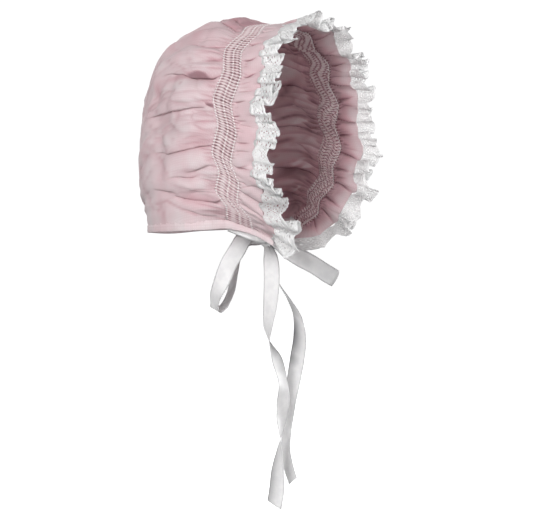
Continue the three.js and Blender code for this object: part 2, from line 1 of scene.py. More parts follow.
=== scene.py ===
import math
import bpy
import numpy as np
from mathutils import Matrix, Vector


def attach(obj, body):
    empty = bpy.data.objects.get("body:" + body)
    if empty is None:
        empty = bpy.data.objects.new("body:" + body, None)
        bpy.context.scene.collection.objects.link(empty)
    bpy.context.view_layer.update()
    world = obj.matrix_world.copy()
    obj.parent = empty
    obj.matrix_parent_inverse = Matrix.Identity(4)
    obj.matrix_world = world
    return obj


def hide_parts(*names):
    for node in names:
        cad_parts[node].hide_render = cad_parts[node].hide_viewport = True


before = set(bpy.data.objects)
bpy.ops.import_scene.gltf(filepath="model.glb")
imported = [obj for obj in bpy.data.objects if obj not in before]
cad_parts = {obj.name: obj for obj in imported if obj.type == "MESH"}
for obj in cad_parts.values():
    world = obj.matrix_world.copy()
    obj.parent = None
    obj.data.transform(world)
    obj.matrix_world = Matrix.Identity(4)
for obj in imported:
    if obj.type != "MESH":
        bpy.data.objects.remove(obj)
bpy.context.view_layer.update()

# Baby sun bonnet: gathered pink batiste crown, smocked band, frilled brim with cotton lace, bound neck edge
# and white satin ties in a bow. Sizes are the part's own, in millimetres. A share is a part of a whole way, 0
# to 1. A place round is a share of the way round the face, from the near end of the neck edge to the far.
FACE_WIDTH = 106
FACE_HEIGHT = 116
FACE_MIDDLE = 66
HOOP_BOTTOM = FACE_HEIGHT - FACE_MIDDLE + 5
CROWN_BOTTOM = FACE_HEIGHT - FACE_MIDDLE + 30
CROWN_DEPTH = 80
CROWN_RISE = 7
CROWN_SWELL = 4
MIDDLE_DROP = 6
NAPE_DROP = 4
BAND_WIDTH = 13
BAND_SLOPE = 5
CHEVRON_RISE = 2.2
BRIM_LENGTH = 14
LACE_WIDTH = 12
BINDING_HEIGHT = 5.5
RIBBON_WIDTH = 10
TAIL_LENGTH = 150
LOOP_LENGTH = 42
KNOT_SIZE = 9
CLOTH_WALL = 1.2
BINDING_WALL = 2.2
SEAM_GAP = 0.3
HEM_GAP = 0.6
TIE_CLEARANCE = 1.2
NEAR_SQUARENESS = 2.6
FAR_SQUARENESS = 2.1
BACK_SQUARENESS = 2.45
NECK_SHARE = 0.03
SWELL_SHARE = 0.1
BOTTOM_SHARE = 0.3
CENTRE_DENT = 4
FRILL_HEIGHT = 3.4
CHIN_SHARE = 0.08
FAR_CHIN_PULL = 8
CHIN_PULL_REACH = 35
CHEVRONS = 12
PLEATS = CHEVRONS * 16
PLEAT_DEPTH = 1.25
PLEAT_CREST = 0.92
PINCH_REACH = 0.085
SCALLOPS = 50
SMALL_GATHERS = 150
WRINKLES = 170
RIPPLES = 26
CENTRE_PLEATS = 44
SMALL_BRIM_FOLDS = 132
BRIM_ROUND = 340
LACE_MESH = 1.3
RUFFLE_KNOTS = 41
TAIL_CUT = 3.0
INTO_KNOT = 0.35

# The walls that the pieces are given, in millimetres.
BATISTE_WALL = 0.4
PLEAT_WALL = 0.35
LACE_WALL = 0.38
SATIN_WALL = 0.3

BAND_FOOT = -(FACE_HEIGHT - BINDING_HEIGHT - HEM_GAP)
FRONT_FOOT = BAND_FOOT - BAND_SLOPE
BAND_BACK = BAND_WIDTH / 2

# How the crown's lines run back: place round the face, and how far round a line moves on its way.
CROWN_LINES = [
    (0, 0), (0.09, 0.012), (0.15, 0.04), (0.27, 0.085), (0.36, 0.06), (0.5, 0),
    (0.64, -0.06), (0.73, -0.085), (0.85, -0.04), (0.91, -0.012), (1, 0),
]

# Broad folds of the crown: place, depth, width, start, end, drift.
FOLD_DEPTH = 5
CROWN_FOLDS = [
    (0.058, 1.0, 0.01, 0.0, 1.0, -0.006), (0.1, 0.6, 0.009, 0.0, 0.45, 0.008),
    (0.128, 0.5, 0.008, 0.02, 0.4, -0.02), (0.15, 0.8, 0.01, 0.0, 1.0, 0.0),
    (0.185, 0.45, 0.008, 0.0, 0.4, 0.01), (0.215, 0.95, 0.011, 0.0, 1.0, -0.008),
    (0.245, 0.4, 0.008, 0.0, 0.4, -0.01), (0.275, 1.1, 0.012, 0.0, 0.95, 0.008),
    (0.31, 0.45, 0.009, 0.0, 0.45, 0.008), (0.345, 0.8, 0.012, 0.0, 0.8, 0.0),
    (0.39, 0.7, 0.011, 0.0, 0.55, -0.01), (0.43, 0.9, 0.013, 0.0, 0.95, 0.01),
    (0.475, 0.8, 0.012, 0.0, 0.7, 0.012), (0.525, 0.7, 0.012, 0.0, 0.9, -0.01),
    (0.57, 0.9, 0.013, 0.0, 0.6, 0.008), (0.615, 0.7, 0.011, 0.0, 0.95, 0.0),
    (0.66, 0.8, 0.012, 0.0, 0.7, 0.01), (0.705, 0.9, 0.012, 0.0, 0.95, -0.006),
    (0.75, 0.6, 0.01, 0.0, 0.5, 0.008), (0.785, 1.0, 0.012, 0.0, 1.0, 0.004),
    (0.835, 0.7, 0.01, 0.0, 0.55, -0.008), (0.865, 0.8, 0.01, 0.0, 0.95, 0.01),
    (0.905, 0.6, 0.009, 0.0, 0.5, -0.006), (0.94, 0.9, 0.01, 0.0, 1.0, 0.004),
]

# Sharp creases: depth, width above and below in millimetres, then a route of (share back, place round).
CREASES = [
    (3.0, 1.6, 4.0, [
        (0.0, 0.285), (0.03, 0.275), (0.07, 0.2685), (0.115, 0.2645), (0.16, 0.2635), (0.2, 0.2665),
        (0.24, 0.269),
    ]),
    (1.0, 1.2, 3.0, [(0.2, 0.264), (0.335, 0.274), (0.39, 0.269)]),
    (1.2, 1.2, 2.5, [(0.33, 0.274), (0.375, 0.256), (0.42, 0.25)]),
    (3.0, 1.4, 3.0, [(0.0, 0.224), (0.02, 0.223), (0.045, 0.218)]),
    (1.3, 1.2, 4.0, [(0.03, 0.22), (0.065, 0.213), (0.205, 0.2), (0.37, 0.2), (0.5, 0.205)]),
    (2.0, 1.2, 3.5, [
        (0.0, 0.153), (0.025, 0.149), (0.1, 0.137), (0.175, 0.13), (0.255, 0.127), (0.305, 0.128),
        (0.34, 0.129),
    ]),
    (1.2, 1.2, 3.5, [(0.25, 0.127), (0.305, 0.128), (0.425, 0.134), (0.465, 0.144)]),
    (1.3, 1.1, 2.0, [(0.0, 0.116), (0.04, 0.111), (0.07, 0.104), (0.11, 0.094), (0.17, 0.088)]),
    (2.2, 1.1, 2.2, [(0.08, 0.086), (0.125, 0.083), (0.185, 0.083), (0.22, 0.083)]),
    (1.2, 1.2, 2.0, [(0.0, 0.09), (0.035, 0.089), (0.07, 0.087)]),
    (1.4, 1.2, 2.0, [(0.0, 0.074), (0.035, 0.071), (0.06, 0.07)]),
    (4.2, 1.2, 3.2, [
        (0.0, 0.046), (0.07, 0.043), (0.12, 0.044), (0.165, 0.046), (0.205, 0.046), (0.24, 0.05),
    ]),
    (1.2, 1.4, 2.4, [(0.22, 0.048), (0.26, 0.056), (0.405, 0.067)]),
    (1.2, 1.4, 2.4, [(0.02, 0.008), (0.09, 0.012), (0.205, 0.027)]),
    (1.9, 1.4, 3.0, [(0.0, 0.347), (0.1, 0.333), (0.24, 0.343)]),
    (1.4, 1.2, 2.4, [(0.0, 0.315), (0.1, 0.298), (0.14, 0.296)]),
    (2.2, 1.4, 2.6, [(0.0, 0.39), (0.12, 0.42), (0.27, 0.462)]),
    (3.6, 1.3, 2.6, [(0.0, 0.428), (0.06, 0.44), (0.125, 0.464), (0.2, 0.47)]),
    (2.2, 1.3, 2.6, [(0.0, 0.52), (0.08, 0.515), (0.2, 0.5)]),
    (2.4, 1.6, 3.6, [(0.0, 0.57), (0.1, 0.578), (0.25, 0.566), (0.4, 0.57)]),
    (2.8, 1.4, 3.6, [(0.0, 0.625), (0.08, 0.632), (0.2, 0.64), (0.34, 0.632), (0.5, 0.63)]),
    (2.2, 1.4, 3.0, [(0.0, 0.672), (0.1, 0.68), (0.2, 0.682)]),
    (3.2, 1.6, 4.2, [(0.0, 0.716), (0.06, 0.722), (0.2, 0.738), (0.36, 0.728), (0.48, 0.72)]),
    (2.0, 1.3, 2.6, [(0.0, 0.765), (0.1, 0.77), (0.17, 0.768)]),
    (3.0, 1.4, 3.6, [(0.0, 0.8), (0.1, 0.812), (0.24, 0.82), (0.4, 0.81), (0.54, 0.806)]),
    (2.0, 1.3, 2.6, [(0.0, 0.845), (0.08, 0.85), (0.18, 0.848)]),
    (3.4, 1.4, 3.2, [(0.0, 0.89), (0.08, 0.898), (0.2, 0.9), (0.3, 0.894)]),
    (2.4, 1.4, 3.0, [(0.0, 0.944), (0.1, 0.95), (0.22, 0.95), (0.4, 0.94)]),
]

# Shaded hollows under the folds: share back, place round, half length, half width, turn in degrees, how dark.
SHADES = [
    (0.12, 0.2705, 14, 1.75, -9, 0.74),
    (0.21, 0.264, 20, 2.4, -4, 0.36),
    (0.018, 0.2245, 4.2, 1.6, -12, 0.8),
    (0.035, 0.1475, 5.5, 0.8, -14, 0.6),
    (0.13, 0.044, 10, 1.3, 0, 0.62),
    (0.32, 0.172, 7, 1.8, -12, 0.3),
    (0.35, 0.186, 9, 5.0, 0, 0.2),
    (0.44, 0.251, 4.5, 5.0, 0, 0.25),
    (0.02, 0.467, 4, 2.0, 30, 0.5),
    (0.22, 0.37, 26, 15, 0, 0.24),
    (0.03, 0.45, 13, 18, 0, 0.49),
    (0.12, 0.47, 20, 14, 0, 0.4),
    (0.1, 0.634, 9, 1.5, 0, 0.5),
    (0.14, 0.735, 10, 1.5, 0, 0.5),
    (0.12, 0.815, 9, 1.3, 0, 0.5),
    (0.1, 0.9, 8, 1.2, 0, 0.5),
]

# Painted light and shade of folds on the inner side of the crown, as in SHADES. Painted light is below 0.
INNER_SHADES = [
    (0.16, 0.7, 12, 4.5, 45, -0.2),
    (0.175, 0.742, 11, 2.0, 45, 0.4),
    (0.09, 0.75, 8, 5, 20, -0.14),
    (0.2, 0.775, 12, 2.6, 20, 0.14),
    (0.17, 0.796, 13, 0.9, 15, 0.55),
    (0.125, 0.802, 4.5, 1.0, 35, -0.4),
    (0.075, 0.792, 3.5, 0.9, 35, -0.4),
    (0.2, 0.815, 12, 2.6, 10, -0.12),
    (0.24, 0.846, 9, 1.3, 10, 0.4),
    (0.13, 0.84, 11, 3, 0, -0.1),
    (0.17, 0.864, 13, 1.0, 0, 0.32),
    (0.14, 0.886, 5, 1.2, 40, -0.42),
    (0.09, 0.889, 4, 1.0, 40, -0.42),
    (0.2, 0.908, 12, 3.2, 8, 0.42),
    (0.1, 0.937, 3.5, 1.1, 45, -0.4),
    (0.16, 0.955, 12, 1.2, 10, 0.3),
    (0.16, 0.975, 12, 6, 0, 0.3),
]

# Soft dents of the crown: share back, place round, reach back, reach round, turn in degrees, depth.
DENTS = [
    (0.5, 0.214, 2.4, 1.8, 0, -2.4),
    (0.47, 0.265, 5, 4, 0, -1.6),
    (0.46, 0.242, 4, 3.5, 0, 1.4),
    (0.33, 0.172, 14, 6, 10, 2.0),
    (0.36, 0.145, 4, 14, -35, 1.6),
    (0.35, 0.103, 4, 14, -30, 1.5),
    (0.30, 0.238, 4, 13, 20, 1.5),
    (0.42, 0.225, 12, 8, 0, 1.4),
    (0.30, 0.085, 10, 5, 0, -1.2),
    (0.16, 0.235, 22, 8, 0, -1.6),
    (0.15, 0.18, 22, 9, 0, -1.4),
    (0.15, 0.12, 22, 7, 5, -1.2),
    (0.16, 0.065, 20, 5, 0, -1.2),
    (0.22, 0.3, 22, 8, 0, -1.2),
    (0.34, 0.32, 8, 14, 25, 1.4),
    (0.32, 0.4, 8, 12, -25, 1.6),
    (0.3, 0.55, 9, 14, 15, 1.6),
    (0.36, 0.66, 9, 12, -20, 1.6),
    (0.34, 0.77, 7, 14, 20, 1.6),
    (0.36, 0.86, 7, 12, -15, 1.6),
    (0.6, 0.3, 12, 12, 0, 1.2),
    (0.46, 0.215, 28, 26, 0, 3.0),
    (0.6, 0.62, 12, 12, 0, 1.2),
]

# Waves of the frill: how many round the face, share of the height, phase in turns.
FRILL_WAVES = [(9, 0.55, 0.1), (17, 0.75, 0.35), (29, 0.35, 0.8)]
# Which way the brim and the lace lie: place round, the brim's way, the lace's way.
FRILL_WAYS = [
    (0, (0.48, -0.7, -0.53), (0.275, -0.393, -0.88)),
    (0.02, (0.45, -0.78, -0.45), (0.5, -0.71, -0.5)),
    (0.04, (0.35, -0.88, -0.38), (0.6, -0.8, -0.05)),
    (0.065, (0.2, -0.95, -0.3), (0.55, -0.82, 0.02)),
    (0.12, (0, -1, -0.1), (0.1, -0.97, -0.2)),
    (0.25, (0, -1, 0), (0.05, -1, 0)),
    (0.5, (0, -1, 0.06), (0, -1, 0.08)),
    (0.75, (-0.05, -1, 0), (-0.15, -1, 0)),
    (0.87, (0.05, -0.97, -0.15), (0, -0.95, -0.25)),
    (0.94, (0, -0.9, -0.4), (-0.1, -0.8, -0.6)),
    (0.975, (-0.45, -0.65, -0.55), (-0.5, -0.55, -0.6)),
    (1, (-0.85, -0.1, -0.5), (-0.9, -0.05, -0.45)),
]

# Folds of the brim: place round at the band, place round at the lace, depth, reach towards the lace.
BRIM_FOLDS = [
    (0.292, 0.302, 2.0, 0.9), (0.247, 0.25, 1.6, 0.8), (0.176, 0.176, 1.7, 0.8), (0.137, 0.128, 2.3, 1.0),
    (0.091, 0.076, 3.2, 1.4), (0.07, 0.05, 3.4, 1.4), (0.05, 0.035, 2.8, 1.2), (0.012, 0.006, 1.6, 1.2),
    (0.215, 0.212, 1.2, 0.7), (0.325, 0.33, 1.5, 0.8), (0.36, 0.365, 1.5, 1.0), (0.4, 0.41, 1.8, 1.0),
    (0.46, 0.455, 1.8, 1.1), (0.53, 0.54, 2.0, 1.1), (0.575, 0.565, 1.7, 1.2), (0.61, 0.62, 2.2, 1.1),
    (0.645, 0.64, 1.7, 1.0), (0.68, 0.69, 2.2, 1.2), (0.715, 0.71, 1.8, 1.0), (0.75, 0.76, 2.4, 1.2),
    (0.785, 0.78, 1.8, 0.9), (0.815, 0.825, 2.4, 1.3), (0.85, 0.85, 2.0, 1.0), (0.88, 0.892, 2.4, 1.3),
    (0.915, 0.92, 2.0, 1.1), (0.945, 0.955, 2.2, 1.2), (0.975, 0.98, 1.8, 1.0),
]

# Routes of the bow's ribbons: aside, ahead and down as shares of the loop's or tail's length, then the slant
# and turn of the width in degrees, and its share of the full width.
BOW_YAW = -55
KNOT_PLACE = (-7, 3.5, -1.055 * FACE_HEIGHT)
NEAR_LOOP = [
    (-0.115, 0.04, -0.01, -80, 0, 0.45), (-0.22, 0.1, -0.07, -82, 0, 0.75),
    (-0.315, 0.13, -0.02, -60, 0, 0.95),
    (-0.41, 0.14, 0.13, -44, 0, 1), (-0.53, 0.14, 0.33, -30, 0, 1), (-0.63, 0.13, 0.58, -22, 24, 1),
    (-0.72, 0.1, 0.81, -20, 54, 1), (-0.705, 0.0, 0.95, -26, 68, 1), (-0.605, -0.1, 0.92, -24, 66, 1),
    (-0.5, -0.15, 0.72, -18, 66, 1), (-0.46, -0.17, 0.45, -18, 62, 1), (-0.42, -0.16, 0.2, -40, 40, 0.9),
    (-0.29, -0.12, 0.03, -78, 10, 0.65), (-0.12, -0.05, 0.02, -88, 0, 0.45),
]
FAR_LOOP = [
    (0.105, 0.04, 0.05, 68, 0, 0.45), (0.27, 0.09, 0.15, 64, 0, 0.85), (0.45, 0.1, 0.25, 63, 0, 1),
    (0.65, 0.1, 0.355, 63, 0, 1), (0.8, 0.09, 0.455, 63, 0, 1), (0.91, 0.055, 0.52, 63, 0, 1),
    (0.94, 0.0, 0.535, 63, 0, 1), (0.9, -0.05, 0.51, 63, 0, 1), (0.78, -0.07, 0.44, 63, 0, 1),
    (0.6, -0.07, 0.325, 64, 0, 1), (0.38, -0.07, 0.2, 66, 0, 0.95), (0.105, -0.04, 0.06, 72, 0, 0.45),
]
FRONT_TAIL = [
    (0.004, 0.012, 0.031, 0, 10, 0.5), (0.013, 0.02, 0.075, 0, 20, 0.95), (0.017, 0.022, 0.14, 0, 24, 1),
    (0.013, 0.022, 0.228, 0, 30, 1), (0.003, 0.02, 0.33, 0, 56, 1), (0.008, 0.02, 0.387, 0, 88, 1),
    (0.037, 0.024, 0.46, 0, 134, 1), (0.06, 0.028, 0.55, 0, 118, 1), (0.06, 0.028, 0.627, 0, 140, 1),
    (0.055, 0.028, 0.692, 0, 128, 1), (0.05, 0.03, 0.77, 0, 90, 1), (0.04, 0.032, 0.885, 0, 42, 1),
    (0.036, 0.03, 0.963, 0, 30, 1), (0.027, 0.026, 1.02, -12, 32, 1),
]
BACK_TAIL = [
    (0.004, -0.012, 0.031, 0, 90, 0.5), (0.02, -0.03, 0.1, 0, 90, 0.9), (0.045, -0.045, 0.17, 0, 88, 1),
    (0.085, -0.055, 0.235, 0, 76, 1), (0.117, -0.06, 0.3, 0, 60, 1), (0.126, -0.062, 0.38, 0, 44, 1),
    (0.117, -0.062, 0.46, 0, 33, 1), (0.103, -0.062, 0.545, 0, 36, 1), (0.088, -0.064, 0.64, 0, 50, 1),
    (0.076, -0.066, 0.74, 0, 60, 1), (0.072, -0.062, 0.82, 4, 58, 1), (0.084, -0.054, 0.89, 14, 52, 1),
    (0.1, -0.05, 0.94, 22, 55, 1),
]

# Where a ribbon's gleam turns dark: share along, place across, half length, half width, how dark.
RIBBON_SHADES = {
    "front_tail": [(0.0, 0.4, 0.06, 0.6, 0.7), (0.47, -0.5, 0.06, 0.55, 0.5), (0.93, -0.5, 0.15, 0.45, 0.6)],
    "back_tail": [(0.25, -0.3, 0.1, 1.0, 1.0), (0.4, -0.55, 0.12, 0.75, 1.0), (0.5, -0.5, 0.04, 0.6, 0.8)],
    "far_loop": [(0.42, 0.1, 0.1, 1.2, 0.36)],
    "near_loop": [(0.06, 0.5, 0.12, 0.5, 0.3), (0.44, 0.6, 0.05, 0.6, 0.35)],
}

UP = np.array([0.0, 0.0, 1.0])
BACK = np.array([0.0, 1.0, 0.0])


def smooth(value, low, high):
    """Rises softly from 0 at low to 1 at high."""
    step = np.clip((value - low) / (high - low), 0, 1)
    return step * step * (3 - 2 * step)


def unit(vectors):
    """Vectors of length 1 the same ways."""
    length = np.linalg.norm(vectors, axis=-1, keepdims=True)
    return vectors / np.maximum(length, 1e-9)


def from_neck(share):
    """Rises from 0 at the neck edge to 1 a little way round, on either side."""
    return smooth(share, 0, NECK_SHARE) * smooth(1 - share, 0, NECK_SHARE)


# Places round the face where the zigzag of the smocking points backwards, one for each turn of it.
CHEVRON_PEAKS = [0, 0.066, 0.14, 0.242, 0.343, 0.43, 0.515, 0.6, 0.685, 0.765, 0.845, 0.925, 1]


def chevron(share):
    """The zigzag of the smocking: positive is towards the back."""
    turns = np.interp(share, CHEVRON_PEAKS, np.arange(CHEVRONS + 1))
    return CHEVRON_RISE * 0.72 * np.arcsin(0.96 * np.cos(2 * math.pi * turns))


def hoop(y, half, middle, top, bottom, foot, shares):
    """Points round the head at shares of the way from the near foot to the far one, and the length of it."""
    reach = min((middle - foot) / bottom, 1)
    start = -math.asin(reach ** (NEAR_SQUARENESS / 2))
    end = math.pi + math.asin(reach ** (FAR_SQUARENESS / 2))
    angle = np.linspace(start, end, 1441)
    level, rise = np.cos(angle), np.sin(angle)
    power = 2 / np.where(level > 0, NEAR_SQUARENESS, FAR_SQUARENESS)
    across = np.sign(level) * np.abs(level) ** power
    high = np.sign(rise) * np.abs(rise) ** power
    x = -half * across
    z = middle + np.where(high > 0, top, bottom) * high
    at_chin = smooth(-z, 0.62 * FACE_HEIGHT, 0.97 * FACE_HEIGHT) * (x > 0)
    x -= FAR_CHIN_PULL * at_chin * (1 - float(smooth(y, 0, CHIN_PULL_REACH)))
    length = np.concatenate([[0], np.cumsum(np.hypot(np.diff(x), np.diff(z)))])
    at = np.asarray(shares) * length[-1]
    points = np.stack([np.interp(at, length, x), np.full(len(at), float(y)), np.interp(at, length, z)], -1)
    return points, length[-1]


def band_hoop(forward, shares):
    """A hoop of the smocked band: forward is 0 at its back edge and 1 at its front edge."""
    foot = BAND_FOOT + (FRONT_FOOT - BAND_FOOT) * forward
    y = BAND_BACK - BAND_WIDTH * forward
    return hoop(y, FACE_WIDTH / 2, -FACE_MIDDLE, FACE_MIDDLE, HOOP_BOTTOM, foot, shares)


# The crown's side, from the band to the gathered centre: how deep it is, how narrow, and the way along it.
side_angle = np.linspace(0, math.pi / 2, 2001)
side_depth = np.sin(side_angle) ** (2 / BACK_SQUARENESS) * CROWN_DEPTH
side_taper = np.cos(side_angle) ** (2 / BACK_SQUARENESS)
side_steps = np.hypot(np.diff(side_depth), np.diff(side_taper) * FACE_MIDDLE)
side_length = np.concatenate([[0], np.cumsum(side_steps)])
CROWN_SIDE = side_length[-1]


def crown_section(along):
    """The oval of the crown at a share of the way from the band to the gathered centre."""
    depth = np.interp(along * CROWN_SIDE, side_length, side_depth) / CROWN_DEPTH
    taper = np.interp(along * CROWN_SIDE, side_length, side_taper)
    puff = 1 - math.exp(-depth / SWELL_SHARE)
    bottom = HOOP_BOTTOM + (CROWN_BOTTOM - HOOP_BOTTOM) * float(smooth(depth, 0, BOTTOM_SHARE))
    return {
        "y": BAND_BACK + SEAM_GAP + depth * CROWN_DEPTH,
        "half": (FACE_WIDTH / 2 + CROWN_SWELL * puff) * taper,
        "middle": -FACE_MIDDLE - MIDDLE_DROP * depth,
        "top": (FACE_MIDDLE + CROWN_RISE * puff + MIDDLE_DROP * depth) * taper,
        "bottom": bottom * taper,
        "foot": BAND_FOOT - NAPE_DROP * depth,
    }


def nape_share():
    """The share of the way back at which the crown's oval closes over the nape."""
    low, high = 0.0, 1.0
    for _ in range(40):
        tried = (low + high) / 2
        section = crown_section(tried)
        if section["middle"] - section["bottom"] >= section["foot"]:
            high = tried
        else:
            low = tried
    return high


def normals_of(rows, closed):
    """Unit normals and ways round of rows of points. closed says which rows meet themselves."""
    round_way = np.empty_like(rows)
    round_way[:, 1:-1] = rows[:, 2:] - rows[:, :-2]
    round_way[:, 0] = rows[:, 1] - rows[:, 0]
    round_way[:, -1] = rows[:, -1] - rows[:, -2]
    round_way[closed, 0] = rows[closed, 1] - rows[closed, -2]
    round_way[closed, -1] = round_way[closed, 0]
    normal = np.cross(round_way, np.gradient(rows, axis=0))
    flat = np.linalg.norm(normal, axis=-1) < 1e-7
    normal[flat] = BACK
    return unit(normal), unit(round_way)


def gap_depth(share):
    """How deep the cloth lies and how far it is from a pleat's crest: 0 on the crest, 1 in the gap."""
    away = np.abs(PLEATS * share - np.floor(PLEATS * share + 0.5)) * 2
    return 1 - np.sqrt(np.clip(1 - away ** 1.8, 0, 1)), away


def pleats_beside_band(share, distance, shortest, longest, seed):
    """Pleat depth, and painted shade in the gaps, at a distance from the band. Each gap has its own length.
    """
    ends = np.random.default_rng(seed).uniform(0, 1, PLEATS + 1) ** 3.5 * (longest - shortest) + shortest
    end = ends[np.clip(np.floor(PLEATS * share).astype(int), 0, PLEATS)]
    fade = 1 - smooth(distance, 0.15 * end, end)
    depth, away = gap_depth(share)
    return PLEAT_DEPTH * depth * fade, 0.65 * away ** 3 * fade ** 2


def cloth(name, rows, uv, wall, material, marks=None, merge=False):
    """A sheet of cloth from rows of points in millimetres, given a wall and merged where its edges meet."""
    count, columns = rows.shape[:2]
    index = np.arange(count * columns).reshape(count, columns)
    faces = np.stack([index[:-1, :-1], index[:-1, 1:], index[1:, 1:], index[1:, :-1]], -1).reshape(-1, 4)
    return mesh_piece(name, rows.reshape(-1, 3), faces, uv.reshape(-1, 2), wall, material, marks, merge)


def mark_values(mesh, mark):
    """The values of a mark at the points of a mesh."""
    values = np.empty(len(mesh.vertices), np.float32)
    mesh.attributes[mark].data.foreach_get("value", values)
    return values


def take_up(obj):
    """Links a new object into the scene and selects it alone."""
    bpy.context.collection.objects.link(obj)
    bpy.ops.object.select_all(action="DESELECT")
    obj.select_set(True)
    bpy.context.view_layer.objects.active = obj


def mesh_piece(name, points, faces, uv, wall, material, marks=None, merge=False):
    """A piece from points in millimetres. Its inner side takes its painted shade from a second mark, if
    given.
    """
    mesh = bpy.data.meshes.new(name)
    mesh.from_pydata((points * 0.001).tolist(), [], faces.tolist())
    layer = mesh.uv_layers.new(name="cloth")
    layer.data.foreach_set("uv", uv[faces.reshape(-1)].astype(np.float32).reshape(-1))
    for mark, values in (marks or {}).items():
        attribute = mesh.attributes.new(mark, "FLOAT", "POINT")
        attribute.data.foreach_set("value", np.asarray(values, np.float32).reshape(-1))
    made = bpy.data.objects.new(name, mesh)
    take_up(made)
    if merge:
        bpy.ops.object.mode_set(mode="EDIT")
        bpy.ops.mesh.select_all(action="SELECT")
        bpy.ops.mesh.remove_doubles(threshold=0.00002)
        bpy.ops.object.mode_set(mode="OBJECT")
    if wall:
        # The inner layer made by the wall takes its painted shade from the second mark, where there is one.
        sides = [mark_values(mesh, mark) for mark in ("crease", "inner_painted_shade") if "inner_painted_shade" in (marks or {})]
        solid = made.modifiers.new("wall", "SOLIDIFY")
        solid.thickness = wall * 0.001
        solid.offset = 0
        bpy.ops.object.modifier_apply(modifier="wall")
        if sides:
            mesh.attributes["crease"].data.foreach_set("value", np.concatenate(sides))
    bpy.ops.object.shade_smooth()
    mesh.materials.append(material)
    return made


def linear(hex_colour):
    """An sRGB hex colour as linear red, green, blue and alpha."""
    channels = [int(hex_colour[k:k + 2], 16) / 255 for k in (1, 3, 5)]
    return [c / 12.92 if c <= 0.04045 else ((c + 0.055) / 1.055) ** 2.4 for c in channels] + [1.0]


RAMP = "ShaderNodeValToRGB"
NOISE = "ShaderNodeTexNoise"
MIX = "ShaderNodeMix"
MULTIPLY = {"data_type": "RGBA", "blend_type": "MULTIPLY"}


def set_inputs(tree, node, inputs):
    """Gives a node's inputs their values, or links them where the value is a socket."""
    for key, value in inputs.items():
        if isinstance(value, bpy.types.NodeSocket):
            tree.links.new(value, node.inputs[key])
        else:
            node.inputs[key].default_value = value


def add(tree, kind, settings=None, inputs=None, stops=()):
    """A node with its settings, its inputs and, on a colour ramp, its (place, hex) stops."""
    node = tree.nodes.new(kind)
    for key, value in (settings or {}).items():
        setattr(node, key, value)
    set_inputs(tree, node, inputs or {})
    for _ in stops[2:]:
        node.color_ramp.elements.new(0.5)
    if stops:
        for element, (place, colour) in zip(node.color_ramp.elements, stops):
            element.position = place
            element.color = linear(colour)
    return node


def start_material(name, **constants):
    """A new material, its node tree and its shader, with the shader's constants set."""
    material = bpy.data.materials.new(name)
    material.use_nodes = True
    tree = material.node_tree
    shader = tree.nodes["Principled BSDF"]
    set_inputs(tree, shader, {key.replace("_", " "): value for key, value in constants.items()})
    return material, tree, shader


def wave_scale(repeat):
    """The scale of a wave texture that repeats every so many millimetres, on a UV map in centimetres."""
    return 10 / repeat * math.pi / 10


def weave_height(tree, uv, repeat):
    """The height of a woven grain that repeats every so many millimetres both ways."""
    heights = []
    for direction in ("X", "Y"):
        wave = add(tree, "ShaderNodeTexWave", {"wave_type": "BANDS", "bands_direction": direction}, {
            "Vector": uv, "Scale": wave_scale(repeat), "Distortion": 0.4, "Detail": 1.0,
        })
        heights.append(wave.outputs["Fac"])
    return add(tree, "ShaderNodeMath", {"operation": "MULTIPLY"}, {0: heights[0], 1: heights[1]}).outputs[0]


# Cotton batiste, plain woven and washed soft: matt and faintly furry at grazing angles. Painted shade deepens
# its colour to a darker pink and dark mauve in creases, in pleat gaps and in hollows under folds.
def batiste(name, light, body, deep, dark):
    material, tree, shader = start_material(name, Roughness=0.86, Sheen_Weight=0.12, Sheen_Roughness=0.5)
    place = add(tree, "ShaderNodeTexCoord").outputs["Object"]
    uv = add(tree, "ShaderNodeUVMap", {"uv_map": "cloth"}).outputs["UV"]
    crease = add(tree, "ShaderNodeAttribute", {"attribute_name": "crease"}).outputs["Fac"]
    cloud = add(tree, NOISE, None, {"Vector": place, "Scale": 55, "Detail": 3, "Roughness": 0.55})
    tone = add(tree, RAMP, None, {"Fac": cloud.outputs["Fac"]}, [(0.36, light), (0.64, body)])
    # Painted shade: the crease mark darkens the colour to deeper pink and dark mauve where shade falls.
    painted_crease_shade = add(tree, RAMP, None, {"Fac": crease}, [(0.0, "#ffffff"), (0.3, deep), (1.0, dark)])
    tone_with_painted_shade = add(tree, MIX, MULTIPLY, {0: 1.0, 6: tone.outputs["Color"], 7: painted_crease_shade.outputs["Color"]})
    # Threads lie 0.3 mm apart. The grain is drawn to repeat every 1.2 mm, so that the picture can hold it.
    weave = weave_height(tree, uv, 1.2)
    shade = add(tree, RAMP, None, {"Fac": weave}, [(0.0, "#eee6e7"), (1.0, "#ffffff")])
    woven = add(tree, MIX, MULTIPLY, {0: 0.45, 6: tone_with_painted_shade.outputs[2], 7: shade.outputs["Color"]})
    slub = add(tree, NOISE, None, {"Vector": place, "Scale": 900, "Detail": 2})
    height = add(tree, "ShaderNodeMath", {"operation": "ADD"}, {0: weave, 1: slub.outputs["Fac"]}).outputs[0]
    bump = add(tree, "ShaderNodeBump", None, {"Strength": 0.1, "Distance": 0.0002, "Height": height})
    set_inputs(tree, shader, {"Base Color": woven.outputs[2], "Normal": bump.outputs["Normal"]})
    return material


# Stranded cotton embroidery thread, mercerised: white, with a soft gleam along the strands.
def embroidery_thread():
    material, tree, shader = start_material("white_embroidery_thread", Roughness=0.55, Sheen_Weight=0.3)
    place = add(tree, "ShaderNodeTexCoord").outputs["Object"]
    strand = add(tree, NOISE, None, {"Vector": place, "Scale": 1400, "Detail": 2}).outputs["Fac"]
    tone = add(tree, RAMP, None, {"Fac": strand}, [(0.3, "#f3eaea"), (0.7, "#fdf9f9")])
    bump = add(tree, "ShaderNodeBump", None, {"Strength": 0.3, "Distance": 0.0002, "Height": strand})
    set_inputs(tree, shader, {"Base Color": tone.outputs["Color"], "Normal": bump.outputs["Normal"]})
    return material


